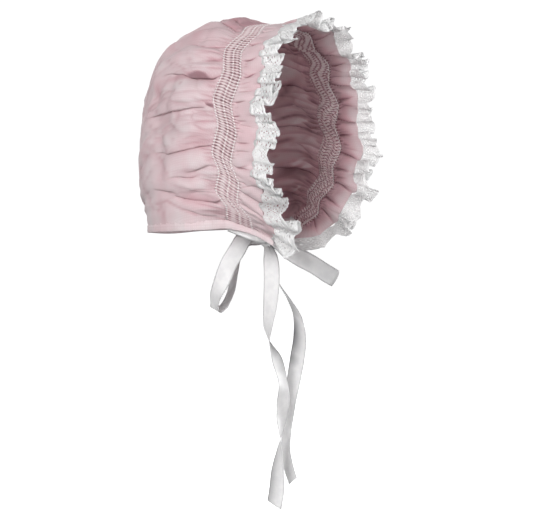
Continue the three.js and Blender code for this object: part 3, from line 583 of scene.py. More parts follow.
# Machine-made cotton lace: matt white net, whiter and denser where its cords and motifs are worked.
def cotton_lace():
    material, tree, shader = start_material("white_cotton_lace", Roughness=0.9, Sheen_Weight=0.2)
    set_inputs(tree, shader, {
        "Subsurface Weight": 0.8, "Subsurface Scale": 0.003, "Subsurface Radius": (1.0, 1.0, 1.0),
    })
    uv = add(tree, "ShaderNodeUVMap", {"uv_map": "cloth"}).outputs["UV"]
    dense = add(tree, "ShaderNodeAttribute", {"attribute_name": "dense"}).outputs["Fac"]
    grain = add(tree, NOISE, None, {"Vector": uv, "Scale": 14, "Detail": 3, "Roughness": 0.7}).outputs["Fac"]
    knit = add(tree, "ShaderNodeTexVoronoi", None, {"Vector": uv, "Scale": 11}).outputs["Distance"]
    tone = add(tree, RAMP, None, {"Fac": dense}, [(0.0, "#fafafa"), (1.0, "#ffffff")])
    mottle = add(tree, RAMP, None, {"Fac": grain}, [(0.35, "#e8e8e8"), (0.6, "#ffffff")])
    mixed = add(tree, MIX, MULTIPLY, {0: 0.6, 6: tone.outputs["Color"], 7: mottle.outputs["Color"]})
    height = add(tree, "ShaderNodeMath", {"operation": "ADD"}, {0: knit, 1: grain}).outputs[0]
    bump = add(tree, "ShaderNodeBump", None, {"Strength": 0.35, "Distance": 0.0004, "Height": height})
    set_inputs(tree, shader, {"Base Color": mixed.outputs[2], "Normal": bump.outputs["Normal"]})
    return material


# Double-faced polyester satin ribbon: fine ribs across, long floats that gleam along, and a firm woven edge.
def satin():
    material, tree, shader = start_material("white_satin_ribbon", Roughness=0.38, Sheen_Weight=0.1)
    set_inputs(tree, shader, {"Anisotropic": 0.5})
    uv = add(tree, "ShaderNodeUVMap", {"uv_map": "cloth"}).outputs["UV"]
    split = add(tree, "ShaderNodeSeparateXYZ", None, {"Vector": uv}).outputs["X"]
    aside = add(tree, "ShaderNodeMath", {"operation": "ABSOLUTE"}, {0: split}).outputs[0]
    edge = [(0.0, "#ffffff"), (0.40, "#ffffff"), (0.45, "#e4e4e5"), (0.5, "#f6f6f6")]
    rim = add(tree, RAMP, None, {"Fac": aside}, edge)
    cloud = add(tree, NOISE, None, {"Vector": uv, "Scale": 2.2, "Detail": 2}).outputs["Fac"]
    tone = add(tree, RAMP, None, {"Fac": cloud}, [(0.35, "#ebeaeb"), (0.65, "#f4f3f3")])
    mixed = add(tree, MIX, MULTIPLY, {0: 1.0, 6: tone.outputs["Color"], 7: rim.outputs["Color"]})
    # Painted shade: the ribbon's mark greys the colour where its gleam turns away from the light.
    crease = add(tree, "ShaderNodeAttribute", {"attribute_name": "crease"}).outputs["Fac"]
    painted_gleam_shade = add(tree, RAMP, None, {"Fac": crease}, [(0.0, "#ffffff"), (1.0, "#7e7e81")])
    shaded = add(tree, MIX, MULTIPLY, {0: 1.0, 6: mixed.outputs[2], 7: painted_gleam_shade.outputs["Color"]})
    # The ribs lie 0.25 mm apart. They are drawn 1.6 mm apart, so that the picture can hold them.
    rib = add(tree, "ShaderNodeTexWave", {"wave_type": "BANDS", "bands_direction": "Y"}, {
        "Vector": uv, "Scale": wave_scale(1.6), "Distortion": 0.6, "Detail": 1,
    }).outputs["Fac"]
    bump = add(tree, "ShaderNodeBump", None, {"Strength": 0.08, "Distance": 0.0002, "Height": rib})
    set_inputs(tree, shader, {"Base Color": shaded.outputs[2], "Normal": bump.outputs["Normal"]})
    return material


# The last two colours of each batiste are painted shade, for creases and hollows where shade falls.
pink_batiste = batiste("pink_cotton_batiste", "#e7dadc", "#e5cdd1", "#e4ccd1", "#825a64")
smocked_batiste = batiste("smocked_cotton_batiste", "#efe4e5", "#eadadc", "#dabfc4", "#745059")
white_thread = embroidery_thread()
white_lace = cotton_lace()
white_satin = satin()


# The crown. First come its smooth surface and the shapes of its creases, then its folds, then the piece.
def crown_surface(shares, alongs):
    """Rows of points of the smooth crown, one for each share of the way back, and the length round each."""
    rows, rounds = [], []
    for along in alongs:
        drift = np.interp(shares, *zip(*CROWN_LINES)) * along
        points, length = hoop(**crown_section(along), shares=shares + drift)
        points[:, 1] += chevron(shares) * (1 - float(smooth(along, 0, 0.25)))
        rows.append(points)
        rounds.append(length)
    return np.array(rows), np.array(rounds)


def turned(u, v, degrees):
    """Places along and across a line that is turned by an angle."""
    c, s = math.cos(math.radians(degrees)), math.sin(math.radians(degrees))
    return c * u + s * v, c * v - s * u


def valley(away, above, below):
    """A crease's depth by the distance from its line in millimetres: steep above it and easier below."""
    return np.exp(-np.where(away > 0, away / above, -away / below))


def overhang(away, above):
    """How far the lip above a crease hangs over it, by the distance from the crease's line."""
    lip = np.exp(-(((away - 0.9 * above) / (0.75 * above)) ** 2))
    return lip * (away > 0) * np.clip(away / (0.25 * above), 0, 1)


# Soft ridges that run across the puffs: depth, step down beyond, then points of (share back, place round).
ARCS = [
    (0.5, 0.5, [(0.205, 0.255), (0.245, 0.235), (0.285, 0.22), (0.29, 0.205)]),
    (0.5, 0.35, [(0.23, 0.2), (0.215, 0.19), (0.225, 0.176), (0.275, 0.167), (0.345, 0.165)]),
    (0.45, 0.4, [(0.38, 0.114), (0.335, 0.108), (0.31, 0.094), (0.32, 0.082)]),
    (0.4, 0.4, [(0.43, 0.162), (0.37, 0.15), (0.325, 0.138), (0.295, 0.132)]),
    (0.35, -0.35, [(0.12, 0.206), (0.135, 0.192), (0.105, 0.176), (0.06, 0.172)]),
    (0.4, 0.3, [(0.4, 0.036), (0.3, 0.04), (0.2, 0.024), (0.12, 0.012)]),
    (0.45, 0.4, [(0.25, 0.7), (0.3, 0.68), (0.29, 0.655)]),
    (0.45, 0.4, [(0.28, 0.79), (0.33, 0.77), (0.3, 0.75)]),
    (0.45, 0.4, [(0.26, 0.88), (0.31, 0.86), (0.29, 0.84)]),
    (0.4, 0.3, [(0.3, 0.56), (0.33, 0.53), (0.3, 0.5)]),
]


def beside_line(u, v, rounds, points):
    """Millimetres from a line of (share back, place round) points, and the side: -1 before it, 1 beyond."""
    nearest_way = np.full(u.shape, 1e9)
    side = np.ones_like(u)
    for (back_a, place_a), (back_b, place_b) in zip(points[:-1], points[1:]):
        ua, va = back_a * CROWN_SIDE, place_a * rounds
        du, dv = (back_b - back_a) * CROWN_SIDE, (place_b - place_a) * rounds
        reach = np.clip(((u - ua) * du + (v - va) * dv) / (du * du + dv * dv), 0, 1)
        gap_u, gap_v = u - ua - reach * du, v - va - reach * dv
        away = np.hypot(gap_u, gap_v)
        closer = away < nearest_way
        nearest_way = np.where(closer, away, nearest_way)
        side = np.where(closer, np.tanh(gap_u / 1.5), side)
    return nearest_way, side


# How the small gathers slant as they leave the band: place round, and the way round per share back.
GATHER_SLANT = [
    (0, 0.1), (0.05, -0.02), (0.1, -0.16), (0.3, -0.2), (0.36, -0.08), (0.43, 0.2), (0.5, 0.0),
    (0.57, -0.2), (0.64, 0.08), (0.7, 0.2), (0.9, 0.16), (0.95, 0.02), (1, -0.1),
]


def gather_drift(place, along):
    """How far round a gather has moved at a share of the way back."""
    return np.interp(place, *zip(*GATHER_SLANT)) * 0.14 * (1 - np.exp(-along / 0.14))


def crown_relief(share, along, rounds):
    """How far the crown's cloth stands out, how far it leans round, and how much shade is painted into its
    colour.
    """
    height = np.zeros_like(share)
    lean = np.zeros_like(share)
    crease = np.zeros_like(share)
    for at, depth, width, start, end, drift in CROWN_FOLDS:
        away = share - at - drift * along - gather_drift(at, along)
        reach = smooth(along, start - 0.02, start + 0.1) * (1 - smooth(along, end - 0.3, end))
        deeper = 1 + 0.6 * float(smooth(at, 0.5, 0.6))
        height -= 0.3 * deeper * depth * FOLD_DEPTH * reach * np.exp(-((away / (width * 1.4)) ** 2))
    for depth, above, below, route in CREASES:
        backs, places = zip(*route)
        away = (share - np.interp(along, backs, places)) * rounds
        ends = smooth(along, backs[0] - (0.06 if backs[0] == 0 else 0.0), backs[0] + 0.05)
        ends = ends * (1 - smooth(along, backs[-1] - 0.08, backs[-1] + 0.02))
        dip = valley(away, 0.55 * above, below) * ends
        height -= depth * (dip - 0.22 * np.exp(-((np.abs(away) - 5) / 4) ** 2) * ends)
        lean -= (0.35 + 0.6 * depth) * overhang(away, above) * ends
        # Painted shade along each crease line, stronger for deeper creases.
        mark = 0.62 * np.exp(-np.abs(away) / 0.45) + 0.38 * np.exp(-np.abs(away) / (1.2 + 0.5 * depth))
        crease = np.maximum(crease, min(depth / 3.2, 1) * mark * ends)
    draw = np.random.default_rng(11)
    for k in range(SMALL_GATHERS):
        at = (k + draw.uniform(-0.4, 0.4)) / SMALL_GATHERS
        reach = draw.choice([0.07, 0.12, 0.24, 0.42], p=[0.27, 0.3, 0.25, 0.18]) * draw.uniform(0.7, 1.3)
        slope = draw.uniform(-0.06, 0.06)
        depth = draw.uniform(0.35, 0.85) * (1 - 0.9 * min(reach, 0.55))
        width = draw.uniform(0.6, 1.1)
        if at > 0.5:
            depth, width = 1.9 * depth, 1.35 * width
        away = (share - at - slope * along - gather_drift(at, along)) * rounds
        ends = 1 - smooth(along, reach * 0.3, reach)
        dip = valley(away, 0.6 * width, width * 1.4) * ends
        height -= depth * dip
        lean -= 0.45 * depth * overhang(away, width) * ends
        # Painted shade in each small gather's valley.
        crease = np.maximum(crease, 0.62 * depth * dip)
    for back, place, long, wide, turn, dark in SHADES:
        u, v = turned((along - back) * CROWN_SIDE, (share - place) * rounds, turn)
        spread = (u / long) ** 2 + (v / wide) ** 2
        shade = smooth(1 - spread, 0, 0.75) if dark >= 0.5 else np.exp(-spread)
        # Painted shade in the hollow, which is also dented a little.
        crease = np.maximum(crease, dark * shade)
        height -= 0.6 * dark * shade
    for back, place, long, wide, turn, depth in DENTS:
        u, v = turned((along - back) * CROWN_SIDE, (share - place) * rounds, turn)
        height -= depth * np.exp(-((u / long) ** 2) - (v / wide) ** 2)
    for _ in range(WRINKLES):
        back, place = draw.uniform(0.06, 0.75), draw.uniform(0.02, 0.98)
        long, wide, turn = draw.uniform(5, 18), draw.uniform(0.9, 2.8), draw.normal(0, 0.7)
        u, v = (along - back) * CROWN_SIDE, (share - place) * rounds
        across = math.cos(turn) * v - math.sin(turn) * u + 0.02 * u ** 2 * draw.uniform(-1, 1)
        down = math.cos(turn) * u + math.sin(turn) * v
        dip = valley(across, wide * 0.35, wide * 1.8) * np.exp(-((down / long) ** 2))
        strength = draw.uniform(0.35, 0.95)
        height -= strength * dip
        # Faint painted shade in each wrinkle.
        crease = np.maximum(crease, 0.32 * strength * dip)
    for _ in range(RIPPLES):
        around, back = draw.uniform(5, 26), draw.uniform(0.2, 1.6)
        phase = draw.uniform(0, 2 * math.pi)
        ripple = np.sin(2 * math.pi * (around * share + back * along) + phase)
        height += 0.16 * ripple * smooth(along, 0, 0.12)
    for depth, step, points in ARCS:
        away, side = beside_line(along * CROWN_SIDE, share * rounds, rounds, points)
        height -= depth * np.exp(-((away / 1.4) ** 2)) + step * side * np.exp(-((away / 7) ** 2))
        # A faint line of painted shade along each ridge.
        crease = np.maximum(crease, 0.22 * np.exp(-((away / 0.9) ** 2)))
    centre = smooth(along, 0.6, 0.96) * (1 - smooth(along, 0.97, 1.0))
    pleats = np.abs(np.cos(math.pi * CENTRE_PLEATS * share + 2.2 * np.sin(9 * along)))
    height += 1.2 * centre * (pleats - 0.6)
    # Painted shade between the gathered pleats at the centre.
    crease = np.maximum(crease, 0.7 * centre * (1 - pleats) ** 2)
    free = 0.15 + 0.85 * from_neck(share)
    return height * np.where(along > NAPE, 1, free), lean, crease


NAPE = nape_share()


def make_crown():
    columns = PLEATS * 4
    shares = np.linspace(0, 1, columns + 1)
    alongs = np.concatenate([
        np.linspace(0, 0.16, 17)[:-1], np.linspace(0.16, NAPE, 20)[:-1],
        np.linspace(NAPE, 0.93, 19)[:-1], np.linspace(0.93, 1, 7),
    ])
    rows, rounds = crown_surface(shares, alongs)
    closed = alongs >= NAPE - 1e-9
    rows[closed, -1] = rows[closed, 0]
    normal, way = normals_of(rows, closed)
    share, along = np.meshgrid(shares, alongs)
    height, lean, crease = crown_relief(share, along, rounds[:, None])
    distance = along * CROWN_SIDE
    join = smooth(distance, 0, 4)
    gaps, dark = pleats_beside_band(share - gather_drift(share, along), distance, 1.0, 8, 3)
    height = (PLEAT_CREST - CLOTH_WALL / 2) * (1 - join) + height * join - gaps
    lean = lean * join
    # Painted shade in the gaps of the pleats beside the band.
    crease = np.maximum(crease * smooth(distance, 0, 1.5), dark)
    rows[..., 1] -= (SEAM_GAP + 0.05) * (1 - smooth(distance, 0, 3))
    normal[0] = unit(normal[0] * [1, 0, 1])
    height[:, -1] = np.where(closed, height[:, 0], height[:, -1])
    lean[:, -1] = np.where(closed, lean[:, 0], lean[:, -1])
    rows = rows + normal * (height + CLOTH_WALL / 2)[..., None] + way * lean[..., None]
    rows[..., 1] -= CENTRE_DENT * smooth(along, 0.8, 1)
    into_hem = np.exp(-np.minimum(share, 1 - share) * rounds[:, None] / 1.5) * (along < NAPE - 1e-9)
    rows[..., 2] -= 1.6 * into_hem
    rows[closed, -1] = rows[closed, 0]
    rows[-1] = rows[-1].mean(axis=0)
    uv = np.stack([(share - 0.5) * rounds[:, None] / 10, along * CROWN_SIDE / 10], -1)
    # The inner side gets its own painted shade along the creases, and painted light and shade of folds from
    # INNER_SHADES.
    inner_painted_shade = 0.1 + 1.1 * crease
    for back, place, long, wide, turn, dark in INNER_SHADES:
        u, v = turned((along - back) * CROWN_SIDE, (share - place) * rounds[:, None], turn)
        inner_painted_shade += 1.25 * dark * np.exp(-((u / long) ** 2) - (v / wide) ** 2)
    marks = {"crease": crease, "inner_painted_shade": np.clip(inner_painted_shade, 0, 1)}
    return cloth("gathered_crown", rows, uv, BATISTE_WALL, pink_batiste, marks, merge=True)


# The smocked band: rounded pleats stand side by side, held by lines of thread that run in a zigzag. Each line
# lies at a share of the way from the band's back edge to its front edge.
THREAD_LINES = [0.02, 0.55, 0.98]
PLEAT_STEPS = 8


def rung_shift(share, forward):
    """How far round a pleat moves across the band, so that it stands square to the thread lines."""
    turns = np.interp(share, CHEVRON_PEAKS, np.arange(CHEVRONS + 1))
    tilt = np.sin(2 * math.pi * turns)
    return -0.2 * tilt * (forward - 0.5) * BAND_WIDTH * math.sin(math.pi * forward)


def band_frame(shares, forward):
    """Points of the smooth band at places round, their ways outward and round, and the length round."""
    rows, length = band_hoop(forward, shares)
    rows[:, 1] += chevron(shares)
    way = unit(np.gradient(rows, axis=0) * [1, 0, 1])
    out = np.cross(way, BACK)
    return rows, out, way, length


def make_band():
    columns = PLEATS * PLEAT_STEPS
    shares = np.linspace(0, 1, columns + 1)
    forwards = np.linspace(1, 0, 22)
    rows, creases, inner_shade_rows = [], [], []
    deep, away = gap_depth(shares)
    pleat = np.floor(shares * PLEATS + 0.5)
    draw = np.random.default_rng(31)
    loose = draw.uniform(0, 1, PLEATS + 1)[np.clip(np.floor(shares * PLEATS).astype(int), 0, PLEATS)]
    share_wave = 0.25 * np.interp(shares, np.linspace(0, 1, 97), draw.uniform(-1, 1, 97))
    wave_phase = np.interp(shares, np.linspace(0, 1, 61), draw.uniform(0, 1, 61))
    for forward in forwards:
        points, out, way, length = band_frame(shares, forward)
        pitch = length / PLEATS
        held = max(math.exp(-((forward - line) / 0.09) ** 2) for line in THREAD_LINES)
        shift = rung_shift(shares, forward)
        side = np.where(pleat % 2 == 0, 1, -1)
        pair = 0.12 * pitch * side * math.cos(math.pi * forward / 0.55) * (1 - away)
        edge = math.sin(math.pi * forward)
        height = PLEAT_CREST - PLEAT_DEPTH * deep - 0.12 * held * min(1, 4 * edge)
        move = (shift + pair * edge) * from_neck(shares)
        rows.append(points + out * height[:, None] + way * move[:, None])
        # Painted shade in the gaps between pleats, stronger where the thread lines pinch them and on looser
        # pleats.
        pinched = sum(math.exp(-((abs(forward - line) - 0.1) / PINCH_REACH) ** 2) for line in THREAD_LINES)
        pinched = min(pinched, 1)
        shown = np.clip(0.36 + 1.1 * pinched * (0.22 + 1.1 * loose), 0, 1.3)
        creases.append(away ** (3 - 1.9 * pinched) * shown)
        # Inside, painted shade lies between wavy ridges.
        wavy = share_wave + 0.42 * np.sin(2 * math.pi * (2.1 * forward + wave_phase))
        inner_away = np.abs(PLEATS * shares + wavy - np.floor(PLEATS * shares + wavy + 0.5)) * 2
        inner_shade_rows.append(np.clip(1.1 * inner_away ** 2.6 - 0.08, 0, 0.95))
    rows = np.array(rows)
    share, forward = np.meshgrid(shares, forwards)
    uv = np.stack([share * 60, forward * BAND_WIDTH / 10], -1)
    marks = {"crease": np.array(creases), "inner_painted_shade": np.array(inner_shade_rows)}
    return cloth("smocked_pleats", rows, uv, PLEAT_WALL, smocked_batiste, marks)


def one_stitch():
    """One plump stitch of stranded thread, a millimetre long, lying along X."""
    bpy.ops.object.select_all(action="DESELECT")
    bpy.ops.mesh.primitive_uv_sphere_add(segments=8, ring_count=6, radius=0.5, rotation=(0, math.pi / 2, 0))
    stitch = bpy.context.object
    bpy.ops.object.transform_apply(location=True, rotation=True, scale=True)
    for vertex in stitch.data.vertices:
        waist = 1 - 0.25 * math.exp(-((vertex.co.x / 0.12) ** 2))
        vertex.co.y *= 0.34 * waist
        vertex.co.z *= 0.30 * waist
    return stitch


def sew(name, stitch, places, material):
    """One piece of many stitches: each place is (middle, along, out, length, thickness) in millimetres."""
    base = np.array([vertex.co[:] for vertex in stitch.data.vertices])
    faces = [list(polygon.vertices) for polygon in stitch.data.polygons]
    points, joined = [], []
    for middle, along, out, length, thick in places:
        along = along / np.linalg.norm(along)
        side = np.cross(out, along)
        side = side / np.linalg.norm(side)
        lift = np.cross(along, side)
        laid = base[:, :1] * along * length + base[:, 1:2] * side * thick + base[:, 2:3] * lift * thick
        start = len(points) * len(base)
        points.append(laid + middle)
        joined.extend([[v + start for v in face] for face in faces])
    mesh = bpy.data.meshes.new(name)
    mesh.from_pydata((np.concatenate(points) * 0.001).tolist(), [], joined)
    made = bpy.data.objects.new(name, mesh)
    take_up(made)
    bpy.ops.object.shade_smooth()
    mesh.materials.append(material)
    return made


def make_smocking_stitches(stitch):
    """Outside, each line has threads over the gaps and beads on the pleats. Inside, the front line shows."""
    places = []
    draw = np.random.default_rng(17)
    shares = np.linspace(0, 1, PLEATS * PLEAT_STEPS + 1)
    half = PLEAT_STEPS // 2
    for line in THREAD_LINES:
        points, out, way, _ = band_frame(shares, line)
        slim = 0.6 if line == THREAD_LINES[1] else 0.85
        shift = rung_shift(shares, line)
        points = points + way * (shift * from_neck(shares))[:, None]
        for k in range(0, PLEATS * PLEAT_STEPS, PLEAT_STEPS):
            here, after = points[k], points[k + PLEAT_STEPS]
            middle = (here + after) / 2
            normal = out[k + half]
            along = after - here
            tilt = draw.uniform(-0.2, 0.7) if k // PLEAT_STEPS % 2 else draw.uniform(-0.4, 0.2)
            thick = draw.uniform(0.8, 1.5) * slim
            long = np.linalg.norm(along) * 1.05
            places.append((middle + normal * 0.8, along + BACK * tilt, normal, long, thick))
        for k in range(PLEAT_STEPS, PLEATS * PLEAT_STEPS, PLEAT_STEPS):
            normal = out[k]
            bead = points[k] + normal * 0.95 + BACK * draw.uniform(-0.25, 0.25)
            lie = BACK + way[k] * draw.uniform(-0.6, 0.6)
            long, thick = draw.uniform(1.0, 1.7), draw.uniform(1.9, 2.8) * (0.3 + 0.7 * slim)
            places.append((bead, lie, normal, long, thick))
    points, out, way, _ = band_frame(shares, THREAD_LINES[-1])
    for k in range(half, PLEATS * PLEAT_STEPS, PLEAT_STEPS):
        bead = points[k] - out[k] * 0.62
        lie = BACK * draw.uniform(-0.8, 0.8) + way[k]
        places.append((bead, lie, -out[k], draw.uniform(1.1, 1.7), draw.uniform(1.0, 1.6)))
    return sew("smocking_stitches", stitch, places, white_thread)


# The frill: brim and lace lie on one surface, reach 0 at the band, 1 at the seam between them, 2 at the edge.
def frill_frame(share):
    """Band edge, outward way, way round, brim way, lace way and wave at places round, as arrays."""
    root = band_hoop(1, share)[0]
    way = unit(np.gradient(root, axis=0))
    normal = np.cross(way, BACK)
    normal[:, 1] = 0
    normal[:, 2] *= from_neck(share)
    out = unit(normal)
    root[:, 1] += chevron(share) - SEAM_GAP
    ways = []
    for column in (1, 2):
        table = np.array([row[column] for row in FRILL_WAYS], float)
        at = np.array([row[0] for row in FRILL_WAYS])
        row = np.clip(np.searchsorted(at, share), 1, len(at) - 1)
        step = smooth(share, at[row - 1], at[row])[:, None]
        ways.append(unit(table[row - 1] * (1 - step) + table[row] * step))
    wave = sum(height * np.sin(2 * math.pi * (waves * share + phase)) for waves, height, phase in FRILL_WAVES)
    free = smooth(share, 0, CHIN_SHARE) * smooth(1 - share, 0, CHIN_SHARE)
    return root, out, way, ways[0], ways[1], FRILL_HEIGHT * wave * free


def frill_points(share, reach):
    """Points of the frill's middle surface at a sorted row of places round, each with its own reach."""
    root, out, way, brim_way, lace_way, wave = frill_frame(share)
    on_brim = np.minimum(reach, 1)[:, None]
    on_lace = np.maximum(reach - 1, 0)[:, None]
    lift = wave * (reach / 2) ** 1.3
    draw = np.random.default_rng(21)
    knots = np.linspace(0, 1, RUFFLE_KNOTS)
    phase = np.interp(share, knots, np.cumsum(draw.uniform(0.35, 1.45, RUFFLE_KNOTS)) - 1)
    size = np.interp(share, knots, draw.uniform(0.3, 1.5, RUFFLE_KNOTS))
    size = size * (1 - 0.45 * np.exp(-(((share - 0.45) / 0.05) ** 2)))
    size = size * smooth(share, 0, 0.025) * smooth(1 - share, 0, 0.025)
    ruffle = 2 * math.pi * phase
    grow = smooth(reach, 0.45, 2.1)
    lift = lift - 3.2 * grow * np.exp(-(((share - 0.485) / 0.022) ** 2))
    lift = lift + 2.6 * size * grow * np.sin(ruffle)
    sway = -2.1 * size * grow * np.sin(2 * ruffle)
    pull = 1.8 * size * grow * np.cos(ruffle)
    fuller = 1 + 0.3 * np.exp(-(((share - 0.03) / 0.03) ** 2))
    point = root + brim_way * on_brim * BRIM_LENGTH + lace_way * on_lace * LACE_WIDTH * fuller[:, None]
    point = point + out * (lift + CLOTH_WALL / 2)[:, None] + way * sway[:, None]
    return point + lace_way * (pull * smooth(reach, 1, 2))[:, None]


def make_brim():
    columns = PLEATS * 4
    shares = np.linspace(0, 1, columns + 1)
    reaches = np.linspace(1.02, 0, 26)
    rows, creases = [], []
    _, out, way, *_ = frill_frame(shares)
    draw = np.random.default_rng(5)
    folds = [(a, b - a, depth * (1.45 if a > 0.5 else 1), far) for a, b, depth, far in BRIM_FOLDS]
    for k in range(SMALL_BRIM_FOLDS):
        at = k / SMALL_BRIM_FOLDS + draw.uniform(-0.004, 0.004)
        drift, depth = draw.uniform(-0.01, 0.01), draw.uniform(0.45, 1.2)
        folds.append((at, drift, depth, draw.choice([0.25, 0.45, 0.8, 1.1], p=[0.4, 0.3, 0.2, 0.1])))
    for reach in reaches:
        points = frill_points(shares, np.full(len(shares), reach))
        distance = reach * BRIM_LENGTH
        join = float(smooth(distance, 0, 3))
        gaps, crease = pleats_beside_band(shares, distance, 1.0, 6, 8)
        points[:, 1] += (SEAM_GAP + 0.05) * (1 - join)
        height = np.zeros_like(shares)
        lean = np.zeros_like(height)
        for at, drift, depth, far in folds:
            away = (shares - at - drift * reach) * BRIM_ROUND
            strength = 1 - smooth(reach, far * 0.35, far)
            width = 0.9 + 0.25 * depth
            dip = valley(away, width * 0.6, width * 1.7) * strength
            height = height - depth * (dip - 0.25 * np.exp(-((np.abs(away) - 3.2) / 2.4) ** 2) * strength)
            lean = lean - 0.5 * depth * overhang(away, width) * strength
            # Painted shade along each fold's crease.
            mark = 0.65 * np.exp(-np.abs(away) / 0.4) + 0.3 * np.exp(-np.abs(away) / 1.6)
            crease = np.maximum(crease, min(depth / 2.2, 1) * mark * strength * join)
        height = (PLEAT_CREST - CLOTH_WALL / 2) * (1 - join) + height * join - gaps
        rows.append(points + out * height[:, None] + way * (lean * join)[:, None])
        creases.append(crease)
    rows = np.array(rows)
    share, reach = np.meshgrid(shares, reaches)
    uv = np.stack([share * 39, reach * BRIM_LENGTH / 10], -1)
    creases = np.array(creases)
    # Inside, painted shade along the folds and more of it towards the band. Outside, the colour is deepened a
    # little everywhere.
    inner_painted_shade = np.clip(1.25 * creases + 0.42 * (1 - smooth(reach * BRIM_LENGTH, 0, 12)), 0, 1)
    creases = np.maximum(creases, 0.1)
    marks = {"crease": creases, "inner_painted_shade": inner_painted_shade}
    return cloth("frilled_batiste_brim", rows, uv, BATISTE_WALL, pink_batiste, marks)


# The lace. Its pattern is a field over its length and width: above 0 there is thread, below 0 a hole.
LACE_LENGTH = 436.0
LACE_CELL = 0.42


def off_line(value, pitch):
    """How far a value is from the nearest of even lines, with its sign."""
    return (value + pitch / 2) % pitch - pitch / 2


def nearest(u, v, pitch):
    """Distance to the nearest point of a staggered grid."""
    rise = math.sqrt(3) * pitch
    first = np.hypot(off_line(u, pitch), off_line(v, rise))
    second = np.hypot(off_line(u + pitch / 2, pitch), off_line(v + rise / 2, rise))
    return np.minimum(first, second)


def seam_wander(share):
    """How far the seam of the lace wanders over the brim, in millimetres."""
    slow = 0.9 * np.sin(2 * math.pi * 23 * share + 3 * np.sin(17 * share))
    return slow + 0.6 * np.sin(2 * math.pi * 57 * share + 1)


def lace_field(u, v):
    """Thread field and density of the lace at millimetres along it and across it from its seam."""
    scallop = LACE_LENGTH / SCALLOPS
    x = (u % scallop) - scallop / 2
    side = np.abs(x) / (scallop / 2)
    edge = LACE_WIDTH + 0.4 - 1.9 * side ** 1.6 + 0.32 * np.abs(np.cos(math.pi * u / 1.35))
    net = nearest(u, v, LACE_MESH) - 0.36
    flower = np.hypot(x, (v - 7.4) * 0.95)
    angle = np.arctan2(v - 7.4, x)
    petals = 2.5 + 0.55 * np.cos(5 * angle + 1.5) - flower
    hollow = np.hypot(flower - 1.45, 0.9 * np.sin(2.5 * angle + 0.75) * 1.2) - 0.42
    blossom = np.minimum(petals, np.minimum(hollow, flower - 0.45))
    leaf_x = scallop / 2 - np.abs(x)
    leaf = 1.25 - np.hypot(leaf_x / 0.75, (v - 4.6) / 1.6)
    vein = np.hypot(leaf_x * 2.2, (v - 4.6) * 0.5) - 0.3
    leaves = np.minimum(leaf, vein)
    cord = 0.55 - np.abs(edge - 0.75 - v)
    inner_cord = 0.3 - np.abs(v - 2.6 - 0.7 * np.cos(2 * math.pi * u / scallop))
    header = 1.5 - v
    eyelets = np.hypot((u % 2.2) - 1.1, v - 0.9) - 0.34
    thread = np.maximum.reduce([net, blossom, leaves, cord, inner_cord, np.minimum(header, eyelets)])
    thread = np.where((petals > 0) & (blossom < net), blossom, thread)
    thread = np.minimum(thread, edge - v)
    dense = np.clip(np.maximum.reduce([blossom * 2.5, leaves * 2.5, cord * 3, inner_cord * 3]), 0, 1)
    return thread, dense


def make_lace():
    """Keeps the cells of a fine grid that hold thread, and draws their rims to the thread's true edge."""
    columns = round(LACE_LENGTH / LACE_CELL)
    lines = math.ceil((LACE_WIDTH + 0.9) / LACE_CELL)
    u = np.linspace(0, LACE_LENGTH, columns + 1)
    v = np.linspace(0, lines * LACE_CELL, lines + 1)
    uu, vv = np.meshgrid(u, v)
    kept = lace_field((uu[:-1, :-1] + uu[1:, 1:]) / 2, (vv[:-1, :-1] + vv[1:, 1:]) / 2)[0] > 0
    touched = np.zeros(uu.shape, int)
    for dj in (0, 1):
        for di in (0, 1):
            touched[dj:dj + lines, di:di + columns] += kept
    rim = (touched > 0) & (touched < 4)
    rim[:, 0] = rim[:, -1] = False
    rim[0] = False
    tiny = 0.02
    field = lace_field(uu, vv)[0]
    du = (lace_field(uu + tiny, vv)[0] - lace_field(uu - tiny, vv)[0]) / (2 * tiny)
    dv = (lace_field(uu, vv + tiny)[0] - lace_field(uu, vv - tiny)[0]) / (2 * tiny)
    slope = np.maximum(du ** 2 + dv ** 2, 0.3)
    limit = 0.42 * LACE_CELL
    uu = uu + np.where(rim, np.clip(-field * du / slope, -limit, limit), 0)
    vv = vv + np.where(rim, np.clip(-field * dv / slope, -limit, limit), 0)
    dense = lace_field(uu, vv)[1]
    fine = np.linspace(0, 1, columns + 1)
    points = np.empty(uu.shape + (3,))
    for j in range(lines + 1):
        share = np.clip(uu[j] / LACE_LENGTH, 0, 1)
        reach = 1 + (vv[j] - 0.5 - seam_wander(share) * np.clip(1 - vv[j] / 5, 0, 1)) / LACE_WIDTH
        order = np.argsort(share, kind="stable")
        row = np.empty((columns + 1, 3))
        row[order] = frill_points(np.maximum.accumulate(share[order] + fine * 1e-9), reach[order])
        points[j] = row
    _, out, *_ = frill_frame(fine)
    points += out[None] * (0.35 * dense + 0.25 * (vv < 1.2))[..., None]
    index = np.arange(uu.size).reshape(uu.shape)
    quads = np.stack([index[1:, :-1], index[1:, 1:], index[:-1, 1:], index[:-1, :-1]], -1)
    faces = quads[kept]
    used = np.unique(faces)
    renumber = np.full(uu.size, -1)
    renumber[used] = np.arange(len(used))
    uv = np.stack([uu, vv], -1).reshape(-1, 2)[used] / 10
    marks = {"dense": dense.reshape(-1)[used]}
    points = points.reshape(-1, 3)[used]
    return mesh_piece("scalloped_lace", points, renumber[faces], uv, LACE_WALL, white_lace, marks)


